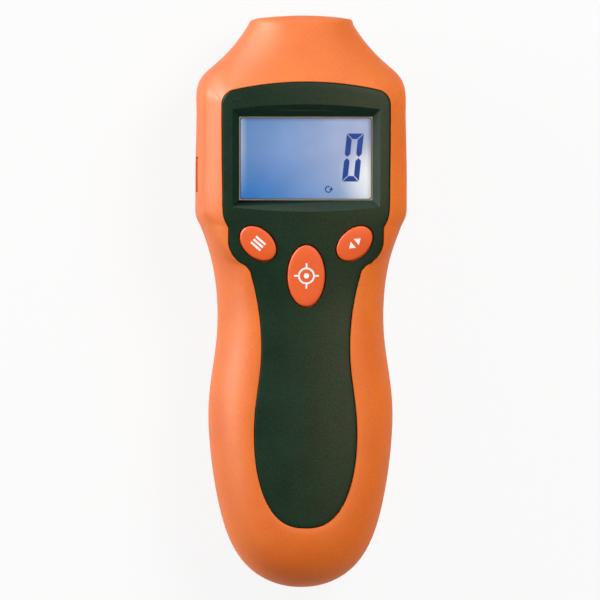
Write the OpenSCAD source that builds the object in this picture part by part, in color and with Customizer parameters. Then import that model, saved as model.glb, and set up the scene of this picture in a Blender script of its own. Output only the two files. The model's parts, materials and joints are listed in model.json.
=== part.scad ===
// Handheld laser tachometer, millimetres.
// It lies on its back: +Z out of the display, +Y to the nose, +X to the right.
// The two housing halves meet on a flat parting plane at half the thickness.

/* [Body] */
// Overall length, butt to nose
body_len = 160; // [158:0.5:170]
// Overall thickness, back to display face
body_thick = 42; // [41:0.5:45]
// Width across the head
head_w = 58.6; // [58.2:0.2:62]
// Width at the nose end
nose_w = 29; // [28.6:0.2:31]
// Width at the waist
waist_w = 46; // [45.8:0.2:49]
// Width at the grip
grip_w = 51.2; // [51:0.2:54]
// Wall thickness of both housing halves
wall = 2.4; // [2.2:0.1:2.8]

/* [Face panel] */
// Panel width beside the display
panel_w = 47; // [46.8:0.2:47.6]
// Panel thickness
panel_t = 1.5; // [1.3:0.1:1.7]
// Gap between the panel edge and the front shell
panel_gap = 0.15; // [0.1:0.05:0.25]
// Width of the ledge under the panel edge
ledge_w = 2; // [1.8:0.1:2.2]

/* [Display] */
// Width of the visible window
view_w = 37.2; // [36:0.2:37.6]
// Height of the visible window
view_h = 23.2; // [22:0.2:23.8]
// Depth of the window below the face
view_depth = 3.5; // [3.2:0.1:3.8]
// Thickness of the clear window
window_t = 1.2; // [1:0.1:1.4]
// Thickness of the display glass
glass_t = 2.2; // [2:0.1:2.6]

/* [Keys] */
// Half length of the side keys
side_a = 5.74; // [5.4:0.1:6]
// Half width of the side keys
side_b = 3.92; // [3.6:0.1:4.2]
// Turn of the side keys, degrees
side_turn = 41.5; // [36:0.5:46]
// Half width of the measuring key
meas_a = 5.18; // [4.9:0.1:5.5]
// Half length of the measuring key
meas_b = 8.55; // [8:0.1:9]
// Gap round each key in the panel
key_gap = 0.4; // [0.3:0.05:0.5]
// Height of the key rims above the panel
key_rise = 0.55; // [0.3:0.05:0.8]
// Travel of each key
key_travel = 0.6; // [0.4:0.1:0.8]

/* [Optics] */
// Sideways place of the laser
laser_x = -6.5; // [-6.9:0.1:-6.2]
// Sideways place of the receiver
sensor_x = 4.8; // [4.5:0.1:5]
// Radius of the receiver lens
lens_r = 5; // [4.6:0.1:5.2]

/* [Battery] */
// Battery width
cell_w = 26.5; // [26:0.1:26.8]
// Battery body length
cell_len = 46.4; // [45.8:0.1:46.8]
// Battery depth
cell_t = 17.5; // [17:0.1:17.8]
// Gap round the battery door
door_gap = 0.2; // [0.15:0.05:0.3]

/* [Hidden] */
zp = body_thick / 2;
nose_y = body_len / 2;
butt_y = -body_len / 2;
shoulder_y = nose_y - 20.8;
base_y = nose_y - 56;
waist_y = nose_y - 84.6;
grip_y = nose_y - 111.5;
nose_r = 1.9;
nose_arch = 0.8;
panel_top = nose_y - 18.9;
panel_end = butt_y + 16.8;
view_y = nose_y - 40.1;
side_x = 13.5;
side_y = nose_y - 63.8;
meas_y = nose_y - 72.85;
lobe_r = 8.05;
strip_w = 12.26;
strip_y = nose_y - 93;
bulge_w = 14.3;
bulge_y = grip_y - 5;
handle_drop = 2.8;
butt_fall = 3;
seat_gap = 0.03;
win_z = body_thick - view_depth;
glass_z = win_z - window_t;
board_top = glass_z - glass_t - 3.6;
board_t = 1.6;
board_z = board_top - board_t;
view_lip = 1;
collar_w = 1.3;
switch_h = 3.1;

// Blending helpers
function mix(a, b, t) = a + (b - a) * t;
function ease(t) = (1 - cos(180 * min(max(t, 0), 1))) / 2;
function egg(s) = pow(max(1 - pow(max(s, 0), 2.2), 0), 0.4);
function butt_end(s) = (1 - 0.36 * pow(s, 1.8)) * pow(max(1 - pow(s, 8), 0), 0.48);
function bez(a, b, c, d, t) =
    pow(1 - t, 3) * a + 3 * pow(1 - t, 2) * t * b + 3 * (1 - t) * t * t * c + pow(t, 3) * d;
function unit(v) = v / norm(v);

// Height of the face above the parting plane on the centre line, and of the crowned face anywhere
function fall(y) = butt_fall * pow(max(grip_y - y, 0) / (grip_y - butt_y), 2);
function spine(y) = zp - handle_drop * ease((base_y + 8 - y) / 38) - fall(y);
function crown(y) = mix(0.0032, 0.0068, ease((base_y + 4 - y) / 30));
function face_z(x, y) = zp + spine(y) - crown(y) * x * x;

// Half width of the panel strip along the handle
function strip(y) = y > strip_y ? strip_w + 0.0069 * pow(y - strip_y, 2)
    : y > bulge_y ? mix(strip_w, bulge_w, ease((strip_y - y) / (strip_y - bulge_y)))
    : bulge_w * egg((bulge_y - y) / (bulge_y - panel_end));

// Right half of the panel outline from the nose end to the butt end
panel_hw = panel_w / 2;
top_r = 93;
corner_r = 4.2;
corner_x = panel_hw - corner_r;
corner_y = panel_top - top_r + sqrt(pow(top_r - corner_r, 2) - corner_x * corner_x);
top_a = asin(corner_x / (top_r - corner_r));
panel_right = concat(
    [for (k = [0:3]) let (t = k / 4) [top_r * sin(top_a * t), panel_top - top_r * (1 - cos(top_a * t))]],
    [for (k = [0:11]) let (a = mix(top_a, 90, k / 11))
        [corner_x + corner_r * sin(a), corner_y + corner_r * cos(a)]],
    [for (k = [1:6]) let (t = k / 6) [panel_hw - 0.3 * t * t, mix(corner_y - 0.6, base_y + 1.6, t)]],
    [for (k = [1:3]) let (t = k / 3) [panel_hw - 0.3 - 1.6 * t * t, base_y + 1.6 - 5 * t]],
    [for (k = [0:4]) let (a = 8 - 19 * k) [side_x + 0.1 + lobe_r * cos(a), side_y + 1.2 + lobe_r * sin(a)]],
    [for (k = [0:3]) let (y = mix(meas_y + 1.2, waist_y, k / 3)) [strip(y), y]],
    [for (k = [1:6]) let (y = mix(waist_y, grip_y, k / 6)) [strip(y), y]],
    [for (k = [1:12]) let (y = mix(grip_y, panel_end, sin(7.5 * k))) [k == 12 ? 0 : strip(y), y]]);

// Right half of the parting outline, set in by e, point for point beside the panel outline
function edge_right(e) =
    let (hn = nose_w / 2 - e, hh = head_w / 2 - e, hw = waist_w / 2 - e, hg = grip_w / 2 - e,
         ny = nose_y - e, r = nose_r - 0.4 * e, flat = hn - r, fy = ny - nose_arch - r, rise = hh - 0.2 - hw)
    concat(
        [for (k = [0:3]) let (t = k / 4) [flat * t, ny - nose_arch * t * t]],
        [for (k = [0:2]) let (a = 40 * k) [flat + r * sin(a), ny - nose_arch - r * (1 - cos(a))]],
        [for (k = [1:9]) let (t = k / 9)
            [bez(hn, hn + 8.8, hh - 1.2, hh - 0.4, t), bez(fy, fy - 13.2, shoulder_y + 6.6, shoulder_y, t)]],
        [for (k = [1:6]) let (t = k / 6)
            [mix(hh - 0.4, hh, ease(t * 1.3)), mix(shoulder_y - 1, base_y + 1.6, t)]],
        [for (k = [1:3]) let (t = k / 3) [hh - 0.75 * t * t, base_y + 1.6 - 3 * t]],
        [for (k = [0:4]) let (s = mix(0.91, 0.59, k / 4))
            [hw + rise * pow(s, 2.25), mix(waist_y, base_y, s)]],
        [for (k = [0:3]) let (s = mix(0.5, 0, k / 3)) [hw + rise * pow(s, 2.25), mix(waist_y, base_y, s)]],
        [for (k = [1:6]) let (t = k / 6) [mix(hw, hg, ease(t)), mix(waist_y, grip_y, t)]],
        [for (k = [1:12]) let (s = sin(7.5 * k))
            [k == 12 ? 0 : hg * butt_end(s), mix(grip_y, butt_y + e, s)]]);

// Fall of the nose face, one plane that slopes from the panel to the nose end
nose_fall = 0.0139;
edge_plan = edge_right(0);
function nose_drop(i) = max(0.085, nose_fall * (edge_plan[i][1] - panel_right[i][1]));

// Roundness and fall of the front, then of the back, on each of those rows
shape_right = concat(
    [for (k = [0:3]) [8, nose_drop(k), 7, 0.48]],
    [for (k = [0:2]) [7 - 0.4 * k, nose_drop(k + 4), 6.4 - 0.4 * k, 0.47 - 0.01 * k]],
    [for (k = [1:9]) let (t = k / 9)
        [mix(6, 3, ease(t * 1.1)), nose_drop(k + 6), mix(5.4, 3.2, ease(t)), mix(0.45, 0, ease(t))]],
    [for (k = [1:9]) [3, 0.085, 3.2, 0]],
    [for (k = [0:4]) [2.8 - 0.1 * k, 0.08, 3.2, 0]],
    [for (k = [0:21]) [2.32, 0.06, 3.2, 0]]);

n_right = len(panel_right);
n_rows = 2 * n_right - 2;
function loop(l) = concat(l, [for (i = [n_right - 2:-1:1]) [-l[i][0], l[i][1]]]);
panel_loop = loop(panel_right);
edge_loop = loop(edge_right(0));
rim_loop = loop(edge_right(wall));
function shape_at(i) = shape_right[i < n_right ? i : n_rows - i];
function outward(l, i) =
    let (d = l[(i + 1) % n_rows] - l[(i + n_rows - 1) % n_rows])
    unit([-d[1], d[0]]);

// A point of the rounded strip between an inner plan point and an outer one, z from the parting plane
function arc_point(p, q, h, n, d, t) =
    let (f = pow(sin(90 * t), 2 / n), g = pow(cos(90 * t), 2 / n), xy = p + (q - p) * f)
    [xy[0], xy[1], h * g * (1 - d * f)];
n_out = 8;
n_in = 6;

// Closed section of the front shell on one row: outer skin, parting rim, inner skin, ledge, panel wall
function front_section(i) =
    let (p = panel_loop[i], o = outward(panel_loop, i), c = shape_at(i), top = face_z(p[0], p[1]),
         e = p + o * panel_gap, l = p - o * ledge_w, low = top - panel_t - seat_gap)
    concat(
        [for (k = [0:n_out]) arc_point(e, edge_loop[i], top - 0.1 - zp, c[0], c[1], k / n_out) + [0, 0, zp]],
        [for (k = [n_in:-1:0])
            arc_point(l, rim_loop[i], low - panel_t - zp, c[0], c[1], k / n_in) + [0, 0, zp]],
        [[l[0], l[1], low], [e[0], e[1], low]]);

// Plan point of the flat resting pad that belongs to a parting point
pad_x = 0.62;
pad_nose = 28;
pad_butt = 20;
function pad_set(y) = y > 0 ? -pad_nose * pow(y / nose_y, 3) : pad_butt * pow(y / butt_y, 3);
function pad_point(q) = [q[0] * pad_x, q[1] + pad_set(q[1])];

// Strip of the back on one row between two parting outlines, e and e + t deep, from the pad edge inwards
function back_section(i, outer, inner, e, t, no, ni) =
    let (p = pad_point(edge_loop[i]), c = shape_at(i))
    concat(
        [for (k = [0:no]) let (a = arc_point(p, outer[i], zp - e, c[2], c[3], k / no))
            [a[0], a[1], zp - a[2]]],
        [for (k = [ni:-1:0]) let (a = arc_point(p, inner[i], zp - e - t, c[2], c[3], k / ni))
            [a[0], a[1], zp - a[2]]]);

module ring_skin() {
    pts = [for (i = [0:n_rows - 1]) each front_section(i)];
    m = len(pts) / n_rows;
    polyhedron(pts, [for (i = [0:n_rows - 1], j = [0:m - 1])
        let (a = i * m + j, b = i * m + (j + 1) % m, c = ((i + 1) % n_rows) * m + j,
             d = ((i + 1) % n_rows) * m + (j + 1) % m)
        each [[a, b, c], [b, d, c]]]);
}

// Skin of the back, e below the outer surface and t thick
module bowl_skin(e, t, no, ni) {
    outer = loop(edge_right(e));
    inner = loop(edge_right(e + t));
    pts = [for (i = [0:n_rows - 1]) each back_section(i, outer, inner, e, t, no, ni)];
    m = no + ni + 2;
    polyhedron(pts, concat(
        [for (i = [0:n_rows - 1], j = [0:m - 2])
            let (a = i * m + j, b = a + 1, c = ((i + 1) % n_rows) * m + j, d = c + 1)
            each [[a, c, b], [b, c, d]]],
        [[for (i = [n_rows - 1:-1:0]) i * m]],
        [[for (i = [0:n_rows - 1]) i * m + m - 1]]));
}

// Room inside the back at depth e, taken straight up past the parting plane: trims the ribs and posts
n_room = 4;
module back_room(e) {
    outer = loop(edge_right(e));
    pts = [for (i = [0:n_rows - 1]) let (p = pad_point(edge_loop[i]), c = shape_at(i)) each concat(
        [for (k = [0:n_room]) let (a = arc_point(p, outer[i], zp - e, c[2], c[3], k / n_room))
            [a[0], a[1], zp - a[2]]],
        [[outer[i][0], outer[i][1], zp + 8]])];
    m = n_room + 2;
    polyhedron(pts, concat(
        [for (i = [0:n_rows - 1], j = [0:m - 2])
            let (a = i * m + j, b = a + 1, c = ((i + 1) % n_rows) * m + j, d = c + 1)
            each [[a, c, b], [b, c, d]]],
        [[for (i = [n_rows - 1:-1:0]) i * m]],
        [[for (i = [0:n_rows - 1]) i * m + m - 1]]));
}

// Ring of points of an ellipse
n_oval = 32;
function oval_ring(a, b, z) = [for (k = [0:n_oval - 1])
    let (t = 360 * k / n_oval) [a * cos(t), b * sin(t), z]];

// Key on the face: flat flange and underside at height low, rings above it follow the face
function key_ring(c, a, b, turn, e, z) = [for (p = oval_ring(a - e, b - e, 0))
    let (x = c[0] + p[0] * cos(turn) - p[1] * sin(turn), y = c[1] + p[0] * sin(turn) + p[1] * cos(turn))
    [x, y, z > 5 ? z : face_z(x, y) + z]];
module key(c, a, b, turn, low) {
    prof = [
        [-0.8, low],
        [-0.8, low + 0.9],
        [0, low + 0.9],
        [0, key_rise - 0.35],
        [0.1, key_rise - 0.1],
        [0.35, key_rise + 0.05],
        [1.2, key_rise + 0.2],
        [2.4, key_rise + 0.3]];
    m = len(prof);
    polyhedron([for (p = prof) each key_ring(c, a, b, turn, p[0], p[1])], concat(
        [for (i = [0:m - 2], k = [0:n_oval - 1])
            let (u = i * n_oval + k, v = i * n_oval + (k + 1) % n_oval)
            each [[u, u + n_oval, v], [v, u + n_oval, v + n_oval]]],
        [[for (k = [0:n_oval - 1]) k]],
        [[for (k = [n_oval - 1:-1:0]) (m - 1) * n_oval + k]]));
}

// Round lead through a list of points
n_lead = 8;
module lead(path, r) {
    n = len(path);
    dirs = [for (i = [0:n - 1]) unit(path[min(i + 1, n - 1)] - path[max(i - 1, 0)])];
    pts = [for (i = [0:n - 1]) let (t = dirs[i], u = unit(cross(t, [1, 0.03, 0.02])), v = cross(t, u))
        each [for (k = [0:n_lead - 1]) path[i] + r * (cos(45 * k) * u + sin(45 * k) * v)]];
    polyhedron(pts, concat(
        [for (i = [0:n - 2], k = [0:n_lead - 1])
            let (c = i * n_lead + k, d = i * n_lead + (k + 1) % n_lead)
            each [[c, c + n_lead, d], [d, c + n_lead, d + n_lead]]],
        [[for (k = [0:n_lead - 1]) k]],
        [[for (k = [n_lead - 1:-1:0]) (n - 1) * n_lead + k]]));
}

// Box by its corners
module span(lo, hi) {
    translate(lo)
    cube(hi - lo);
}

// Rod along Y
module rod(x, y0, y1, z, r) {
    translate([x, y0, z])
    rotate([-90, 0, 0])
    cylinder(r = r, h = y1 - y0);
}

// Stadium along Y, centred on the parting plane: half length in X, half height in Z
module stadium(hx, hz, y0, y1) {
    span([hz - hx, y0, zp - hz], [hx - hz, y1, zp + hz]);
    rod(hz - hx, y0, y1, zp, hz);
    rod(hx - hz, y0, y1, zp, hz);
}

// Places of the fasteners
boss_r = 2.8;
nose_boss = 4.6;
grip_boss = 9;
nose_screw_x = 17.5;
nose_screw_in = 16.5;
case_screws_at = [
    [nose_screw_x, nose_y - nose_screw_in, 10.5],
    [-nose_screw_x, nose_y - nose_screw_in, 10.5],
    [grip_w / 2 - 6.4, grip_y + 3.5, 7.5],
    [-(grip_w / 2 - 6.4), grip_y + 3.5, 7.5]];
screw_head_r = 2.6;
screw_head_h = 2;
screw_r = 1.4;
screw_tip = zp + 8;

// Battery room
cell_z = 4.9;
cell_y = butt_y + 19.1;
cell_top = cell_y + cell_len;
door_hw = cell_w / 2 + 1.35;
bay_wall = 1.6;
bay_lo = cell_y - 0.6;
bay_hi = cell_top + 11.2;
bay_roof = cell_z + cell_t + 0.5;
door_top = cell_top + 1;
door_lip = 7;
tongue_z = 1.1;
tongue_t = 0.9;
door_in = 0.3;
door_t = 1.9;
lead_run = 9.7;

// Circuit board ends above the battery leads, and its screws
board_end = cell_top + lead_run - 1;
board_screws_at = [
    [15.5, view_y + 16.3],
    [-15.5, view_y + 16.3],
    [8.4, board_end + 2.6],
    [-8.4, board_end + 2.6]];
board_screw_r = 1;
post_r = 1.7;

// Optics
bezel_hx = 10.8;
bezel_hz = 5.9;
bezel_back = nose_y - wall - 2.4;
bezel_mid = nose_y - wall - 1;
bezel_front = nose_y - 0.9;
barrel_r = 4;
tube_r = lens_r + 0.6;
barrel_back = bezel_back - 18;
tube_back = bezel_back - 15;
bracket_y = bezel_back - 11.5;
bracket_t = 4;

// Side port
port_y = nose_y - 44.4;
port_len = 9.6;
port_h = 6.8;

// Display
view_x = view_w / 2;
view_hh = view_h / 2;
win_x = view_x + view_lip;
win_hh = view_hh + view_lip;
glass_x = win_x - 0.4;
glass_hh = win_hh + 0.6;

// Side key turned into place, s is -1 for the left one
module at_side(s) {
    translate([s * side_x, side_y, 0])
    rotate([0, 0, s * side_turn])
    children();
}

side_z = face_z(side_x, side_y);
meas_z = face_z(0, meas_y);
side_low = side_z - 3.9;
meas_low = meas_z - 3.9;

module front_shell() {
    color([0.9, 0.42, 0.15])
    difference() {
        union() {
            ring_skin();
            for (p = case_screws_at) {
                translate([p[0], p[1], zp])
                cylinder(r = boss_r, h = zp - (p[1] > 0 ? nose_boss : grip_boss));
            }
        }
        for (p = case_screws_at) {
            translate([p[0], p[1], zp - 1])
            cylinder(r = screw_r + 0.02, h = screw_tip - zp + 1.5);
        }
        stadium(bezel_hx + 0.2, bezel_hz + 0.2, bezel_mid - 0.5, nose_y + 1);
        span([-head_w / 2 - 1, port_y - port_len / 2 - 0.1, zp - 1],
            [-head_w / 2 + wall + 1, port_y + port_len / 2 + 0.1, zp + port_h / 2 + 0.1]);
    }
}

// Battery box and screw posts before they are trimmed to the back
module back_ribs() {
    hw = door_hw + bay_wall;
    lo = bay_lo - bay_wall;
    hi = bay_hi + bay_wall;
    for (p = case_screws_at) {
        translate([p[0], p[1], 0.2])
        cylinder(r = boss_r + 0.6, h = zp - 0.2);
    }
    span([door_hw, lo, 0.2], [hw, hi, bay_roof + 1.4]);
    span([-hw, lo, 0.2], [-door_hw, hi, bay_roof + 1.4]);
    span([-hw, lo, 0.2], [hw, bay_lo, bay_roof + 1.4]);
    span([-hw, bay_hi, 0.2], [hw, hi, bay_roof + 1.4]);
    span([-hw, lo, bay_roof], [hw, hi, bay_roof + 1.4]);
}

module back_shell() {
    color([0.88, 0.4, 0.14])
    difference() {
        union() {
            bowl_skin(0, wall, n_out, n_in);
            intersection() {
                back_ribs();
                back_room(0.7);
            }
        }
        span([-door_hw, butt_y - 1, -1], [door_hw, door_top, door_lip]);
        span([-door_hw - 1.2, butt_y - 1, tongue_z - 0.2],
            [door_hw + 1.2, door_top - 1.2, tongue_z + tongue_t + 0.2]);
        span([-6, bay_hi - 6, bay_roof - 6], [6, bay_hi + bay_wall + 1, bay_roof + 2]);
        for (p = case_screws_at) {
            translate([p[0], p[1], -1])
            cylinder(r = screw_head_r + 0.3, h = p[2] + 1);
            translate([p[0], p[1], p[2] - 1])
            cylinder(r = screw_r + 0.15, h = zp);
        }
        stadium(bezel_hx + 0.2, bezel_hz + 0.2, bezel_mid - 0.5, nose_y + 1);
        span([-head_w / 2 - 1, port_y - port_len / 2 - 0.1, zp - port_h / 2 - 0.1],
            [-head_w / 2 + wall + 1, port_y + port_len / 2 + 0.1, zp + 1]);
    }
}

// Crowned plate on the panel outline: grid of rows across the body
n_across = 10;
module panel_plate() {
    ends = [for (i = [1:n_right - 2]) panel_right[i]];
    n = len(ends);
    w = n_across + 1;
    top = [for (p = ends) each [for (k = [0:n_across])
        let (x = p[0] * (2 * k / n_across - 1)) [x, p[1], face_z(x, p[1])]]];
    low = [for (p = top) [p[0], p[1], p[2] - panel_t]];
    tips = [for (p = [panel_right[0], panel_right[n_right - 1]]) each
        [[p[0], p[1], face_z(0, p[1])], [p[0], p[1], face_z(0, p[1]) - panel_t]]];
    m = n * w;
    c = 2 * m;
    e = m - w;
    polyhedron(concat(top, low, tips), concat(
        [for (i = [0:n - 2], k = [0:n_across - 1]) let (a = i * w + k) each [
            [a, a + w + 1, a + w], [a, a + 1, a + w + 1],
            [m + a, m + a + w, m + a + w + 1], [m + a, m + a + w + 1, m + a + 1]]],
        [for (i = [0:n - 2]) let (a = i * w, b = a + n_across) each [
            [a, m + a + w, m + a], [a, a + w, m + a + w],
            [b, m + b, m + b + w], [b, m + b + w, b + w]]],
        [for (k = [0:n_across - 1]) each [
            [c, k + 1, k], [c + 1, m + k, m + k + 1],
            [c + 2, e + k, e + k + 1], [c + 3, m + e + k + 1, m + e + k]]],
        [[c, m, c + 1], [c, 0, m], [c, m + n_across, n_across], [c, c + 1, m + n_across],
         [c + 2, m + e, e], [c + 2, c + 3, m + e],
         [c + 2, m + e + n_across, c + 3], [c + 2, e + n_across, m + e + n_across]]));
}

// Straight oval hole for a key
module key_hole(a, b) {
    linear_extrude(height = body_thick + 5)
    polygon([for (p = oval_ring(a + key_gap, b + key_gap, 0)) [p[0], p[1]]]);
}

module face_panel() {
    color([0.12, 0.2, 0.14])
    difference() {
        union() {
            panel_plate();
            span([-win_x - collar_w, view_y - win_hh - collar_w, glass_z],
                [win_x + collar_w, view_y + win_hh + collar_w, face_z(win_x + collar_w, view_y) - 0.4]);
            for (p = board_screws_at) {
                translate([p[0], p[1], board_top])
                cylinder(r = post_r, h = face_z(p[0], p[1]) - 0.7 - board_top);
            }
        }
        // bevelled recess round the display
        let (x = view_x, h = view_hh, u = 5)
        translate([0, view_y, win_z])
        polyhedron([[-x, -h, 0], [x, -h, 0], [x, h, 0], [-x, h, 0],
            [-x - u, -h - u, u], [x + u, -h - u, u], [x + u, h + u, u], [-x - u, h + u, u]],
            [[0, 1, 2, 3], [4, 7, 6, 5], [0, 4, 5, 1], [1, 5, 6, 2], [2, 6, 7, 3], [3, 7, 4, 0]]);
        span([-view_x, view_y - view_hh, glass_z - 1], [view_x, view_y + view_hh, win_z + 0.5]);
        span([-win_x - 0.02, view_y - win_hh - 0.02, glass_z - 1],
            [win_x + 0.02, view_y + win_hh + 0.02, win_z]);
        at_side(-1)
        key_hole(side_a, side_b);
        at_side(1)
        key_hole(side_a, side_b);
        translate([0, meas_y, 0])
        key_hole(meas_a, meas_b);
        for (p = board_screws_at) {
            translate([p[0], p[1], board_top - 1])
            cylinder(r = board_screw_r + 0.02, h = 5.6);
        }
    }
}

module display_window() {
    color([0.75, 0.85, 0.95])
    span([-win_x, view_y - win_hh, glass_z], [win_x, view_y + win_hh, win_z]);
}

module mem_button() {
    color([0.9, 0.4, 0.18])
    key([-side_x, side_y], side_a, side_b, -side_turn, side_low);
}

module mode_button() {
    color([0.9, 0.4, 0.18])
    key([side_x, side_y], side_a, side_b, side_turn, side_low);
}

module measure_button() {
    color([0.9, 0.4, 0.18])
    key([0, meas_y], meas_a, meas_b, 0, meas_low);
}

// Tactile switch body under a key, with the hole its plunger runs in
module switch_body(x, y) {
    color([0.15, 0.15, 0.16])
    difference() {
        span([x - 3, y - 3, board_top], [x + 3, y + 3, board_top + switch_h]);
        translate([x, y, board_top + 1.1])
        cylinder(r = 1.8, h = switch_h);
    }
}

module switch_plunger(x, y, top) {
    color([0.1, 0.1, 0.1])
    translate([x, y, board_top + 2])
    cylinder(r = 1.7, h = top - board_top - 2);
}

module mem_switch() {
    switch_body(-side_x, side_y);
}

module mode_switch() {
    switch_body(side_x, side_y);
}

module measure_switch() {
    switch_body(0, meas_y);
}

module mem_plunger() {
    switch_plunger(-side_x, side_y, side_low);
}

module mode_plunger() {
    switch_plunger(side_x, side_y, side_low);
}

module measure_plunger() {
    switch_plunger(0, meas_y, meas_low);
}

module lcd_glass() {
    color([0.6, 0.68, 0.8])
    span([-glass_x, view_y - glass_hh, glass_z - glass_t], [glass_x, view_y + glass_hh, glass_z]);
}

module lcd_frame() {
    color([0.85, 0.85, 0.82])
    difference() {
        span([-glass_x - 1.3, view_y - glass_hh - 1.3, board_top],
            [glass_x + 1.3, view_y + glass_hh + 1.3, glass_z - 0.3]);
        span([-glass_x - 0.04, view_y - glass_hh - 0.04, board_top - 1],
            [glass_x + 0.04, view_y + glass_hh + 0.04, glass_z]);
    }
}

module zebra_strips() {
    color([0.75, 0.5, 0.55])
    for (s = [-1, 1]) {
        translate([0, view_y + s * (glass_hh - 1.2), (board_top + glass_z - glass_t) / 2])
        cube([2 * glass_x - 2, 1.8, glass_z - glass_t - board_top], center = true);
    }
}

module backlight() {
    color([0.93, 0.94, 0.96])
    span([-glass_x + 1.2, view_y - glass_hh + 2.6, board_top],
        [glass_x - 1.2, view_y + glass_hh - 2.6, glass_z - glass_t]);
}

// Circuit board, wide under the display and keys, with a tongue into the nose
board_hw = glass_x + 1.4;
module main_board() {
    color([0.1, 0.35, 0.18])
    difference() {
        translate([0, 0, board_z])
        linear_extrude(height = board_t)
        polygon([
            [11.5, bracket_y + bracket_t + 0.4],
            [11.5, view_y + 18.8],
            [board_hw, view_y + 18.8],
            [board_hw, side_y - 3.4],
            [16.5, side_y - 4.6],
            [16.5, meas_y - 1],
            [11.5, meas_y - 4],
            [11.5, board_end],
            [-11.5, board_end],
            [-11.5, meas_y - 4],
            [-16.5, meas_y - 1],
            [-16.5, side_y - 4.6],
            [-board_hw, side_y - 3.4],
            [-board_hw, view_y + 18.8],
            [-11.5, view_y + 18.8],
            [-11.5, bracket_y + bracket_t + 0.4]]);
        for (p = board_screws_at) {
            translate([p[0], p[1], board_z - 1])
            cylinder(r = board_screw_r + 0.1, h = board_t + 2);
        }
    }
}

module board_screws() {
    color([0.7, 0.7, 0.72])
    for (p = board_screws_at) {
        translate([p[0], p[1], board_z - 1.2])
        cylinder(r = 1.8, h = 1.2);
        translate([p[0], p[1], board_z - 0.5])
        cylinder(r = board_screw_r, h = board_t + 4.7);
    }
}

module microcontroller() {
    color([0.1, 0.1, 0.1])
    span([-6, view_y - 6, board_z - 1.6], [6, view_y + 6, board_z]);
}

module driver_chip() {
    color([0.1, 0.1, 0.1])
    span([-13.5, view_y - 20, board_z - 1.5], [-8.5, view_y - 14, board_z]);
}

module crystal() {
    color([0.75, 0.75, 0.76])
    span([5, view_y - 18.6, board_z - 3.5], [16, view_y - 14, board_z]);
}

module capacitor() {
    color([0.2, 0.22, 0.35])
    translate([-14, view_y + 9, board_z - 7.7])
    cylinder(r = 3.15, h = 7.7);
}

module nose_bezel() {
    color([0.08, 0.08, 0.08])
    difference() {
        union() {
            stadium(bezel_hx, bezel_hz, bezel_back, bezel_front);
            stadium(bezel_hx + 0.7, bezel_hz + 0.7, bezel_back, bezel_mid);
        }
        rod(sensor_x, bezel_back - 1, bezel_front + 1, zp, lens_r + 0.02);
        rod(laser_x, bezel_back - 1, bezel_front + 1, zp, 2.42);
    }
}

lens_curve = 14;
module sensor_lens() {
    color([0.7, 0.25, 0.25])
    intersection() {
        rod(sensor_x, bezel_back + 0.6, bezel_front + 1, zp, lens_r);
        translate([sensor_x, bezel_front - 0.3 - lens_curve, zp])
        sphere(r = lens_curve);
    }
}

module laser_window() {
    color([0.8, 0.3, 0.3])
    rod(laser_x, bezel_front - 1.6, bezel_front - 0.5, zp, 2.4);
}

module laser_barrel() {
    color([0.78, 0.62, 0.28])
    difference() {
        rod(laser_x, barrel_back, bezel_back, zp, barrel_r);
        rod(laser_x, barrel_back - 1, bezel_back + 1, zp, 1.8);
    }
}

module laser_diode() {
    color([0.7, 0.7, 0.72])
    rod(laser_x, barrel_back - 3.2, barrel_back, zp, 2.8);
}

module laser_leads() {
    color([0.75, 0.12, 0.1])
    for (s = [-1, 1]) {
        lead([
            [laser_x + s, barrel_back - 3.2, zp],
            [laser_x + s, barrel_back - 5.2, zp],
            [laser_x + s, barrel_back - 7.1, zp + 1.6],
            [laser_x + s, barrel_back - 7.8, zp + 4.4],
            [laser_x + s, barrel_back - 7.9, board_z - 1.4],
            [laser_x + s, barrel_back - 7.9, board_z]], 0.55);
    }
}

module sensor_tube() {
    color([0.1, 0.1, 0.1])
    difference() {
        rod(sensor_x, tube_back, bezel_back, zp, tube_r);
        rod(sensor_x, tube_back - 1, bezel_back + 1, zp, lens_r - 0.4);
    }
}

module photodiode() {
    color([0.2, 0.2, 0.24])
    union() {
        rod(sensor_x, tube_back, tube_back + 4.5, zp, 2.5);
        rod(sensor_x, tube_back, tube_back + 1, zp, 2.9);
    }
}

module sensor_board() {
    color([0.1, 0.35, 0.18])
    span([sensor_x - 6.3, tube_back - 1.6, zp - 6.3], [sensor_x + 6.3, tube_back, board_z]);
}

module optics_bracket() {
    color([0.3, 0.3, 0.32])
    difference() {
        span([laser_x - barrel_r - 1.4, bracket_y, zp - tube_r - 1.4],
            [sensor_x + tube_r + 1.2, bracket_y + bracket_t, board_z]);
        rod(laser_x, bracket_y - 1, bracket_y + bracket_t + 1, zp, barrel_r + 0.02);
        rod(sensor_x, bracket_y - 1, bracket_y + bracket_t + 1, zp, tube_r + 0.02);
    }
}

cell_mid = cell_z + cell_t / 2;
stud_x = 6.35;
snap_hx = cell_w / 2 - 0.65;
snap_hz = 6;
snap_t = 5;
module battery_body() {
    color([0.25, 0.26, 0.3])
    span([-cell_w / 2, cell_y, cell_z], [cell_w / 2, cell_top, cell_z + cell_t]);
}

module battery_terminals() {
    color([0.8, 0.78, 0.7])
    union() {
        rod(-stud_x, cell_top, cell_top + 2.9, cell_mid, 2.9);
        rod(stud_x, cell_top, cell_top + 2.9, cell_mid, 4);
    }
}

module battery_snap() {
    color([0.08, 0.08, 0.08])
    difference() {
        span([-snap_hx, cell_top, cell_mid - snap_hz], [snap_hx, cell_top + snap_t, cell_mid + snap_hz]);
        rod(-stud_x, cell_top - 1, cell_top + 3.2, cell_mid, 3.2);
        rod(stud_x, cell_top - 1, cell_top + 3.2, cell_mid, 4.3);
    }
}

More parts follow.
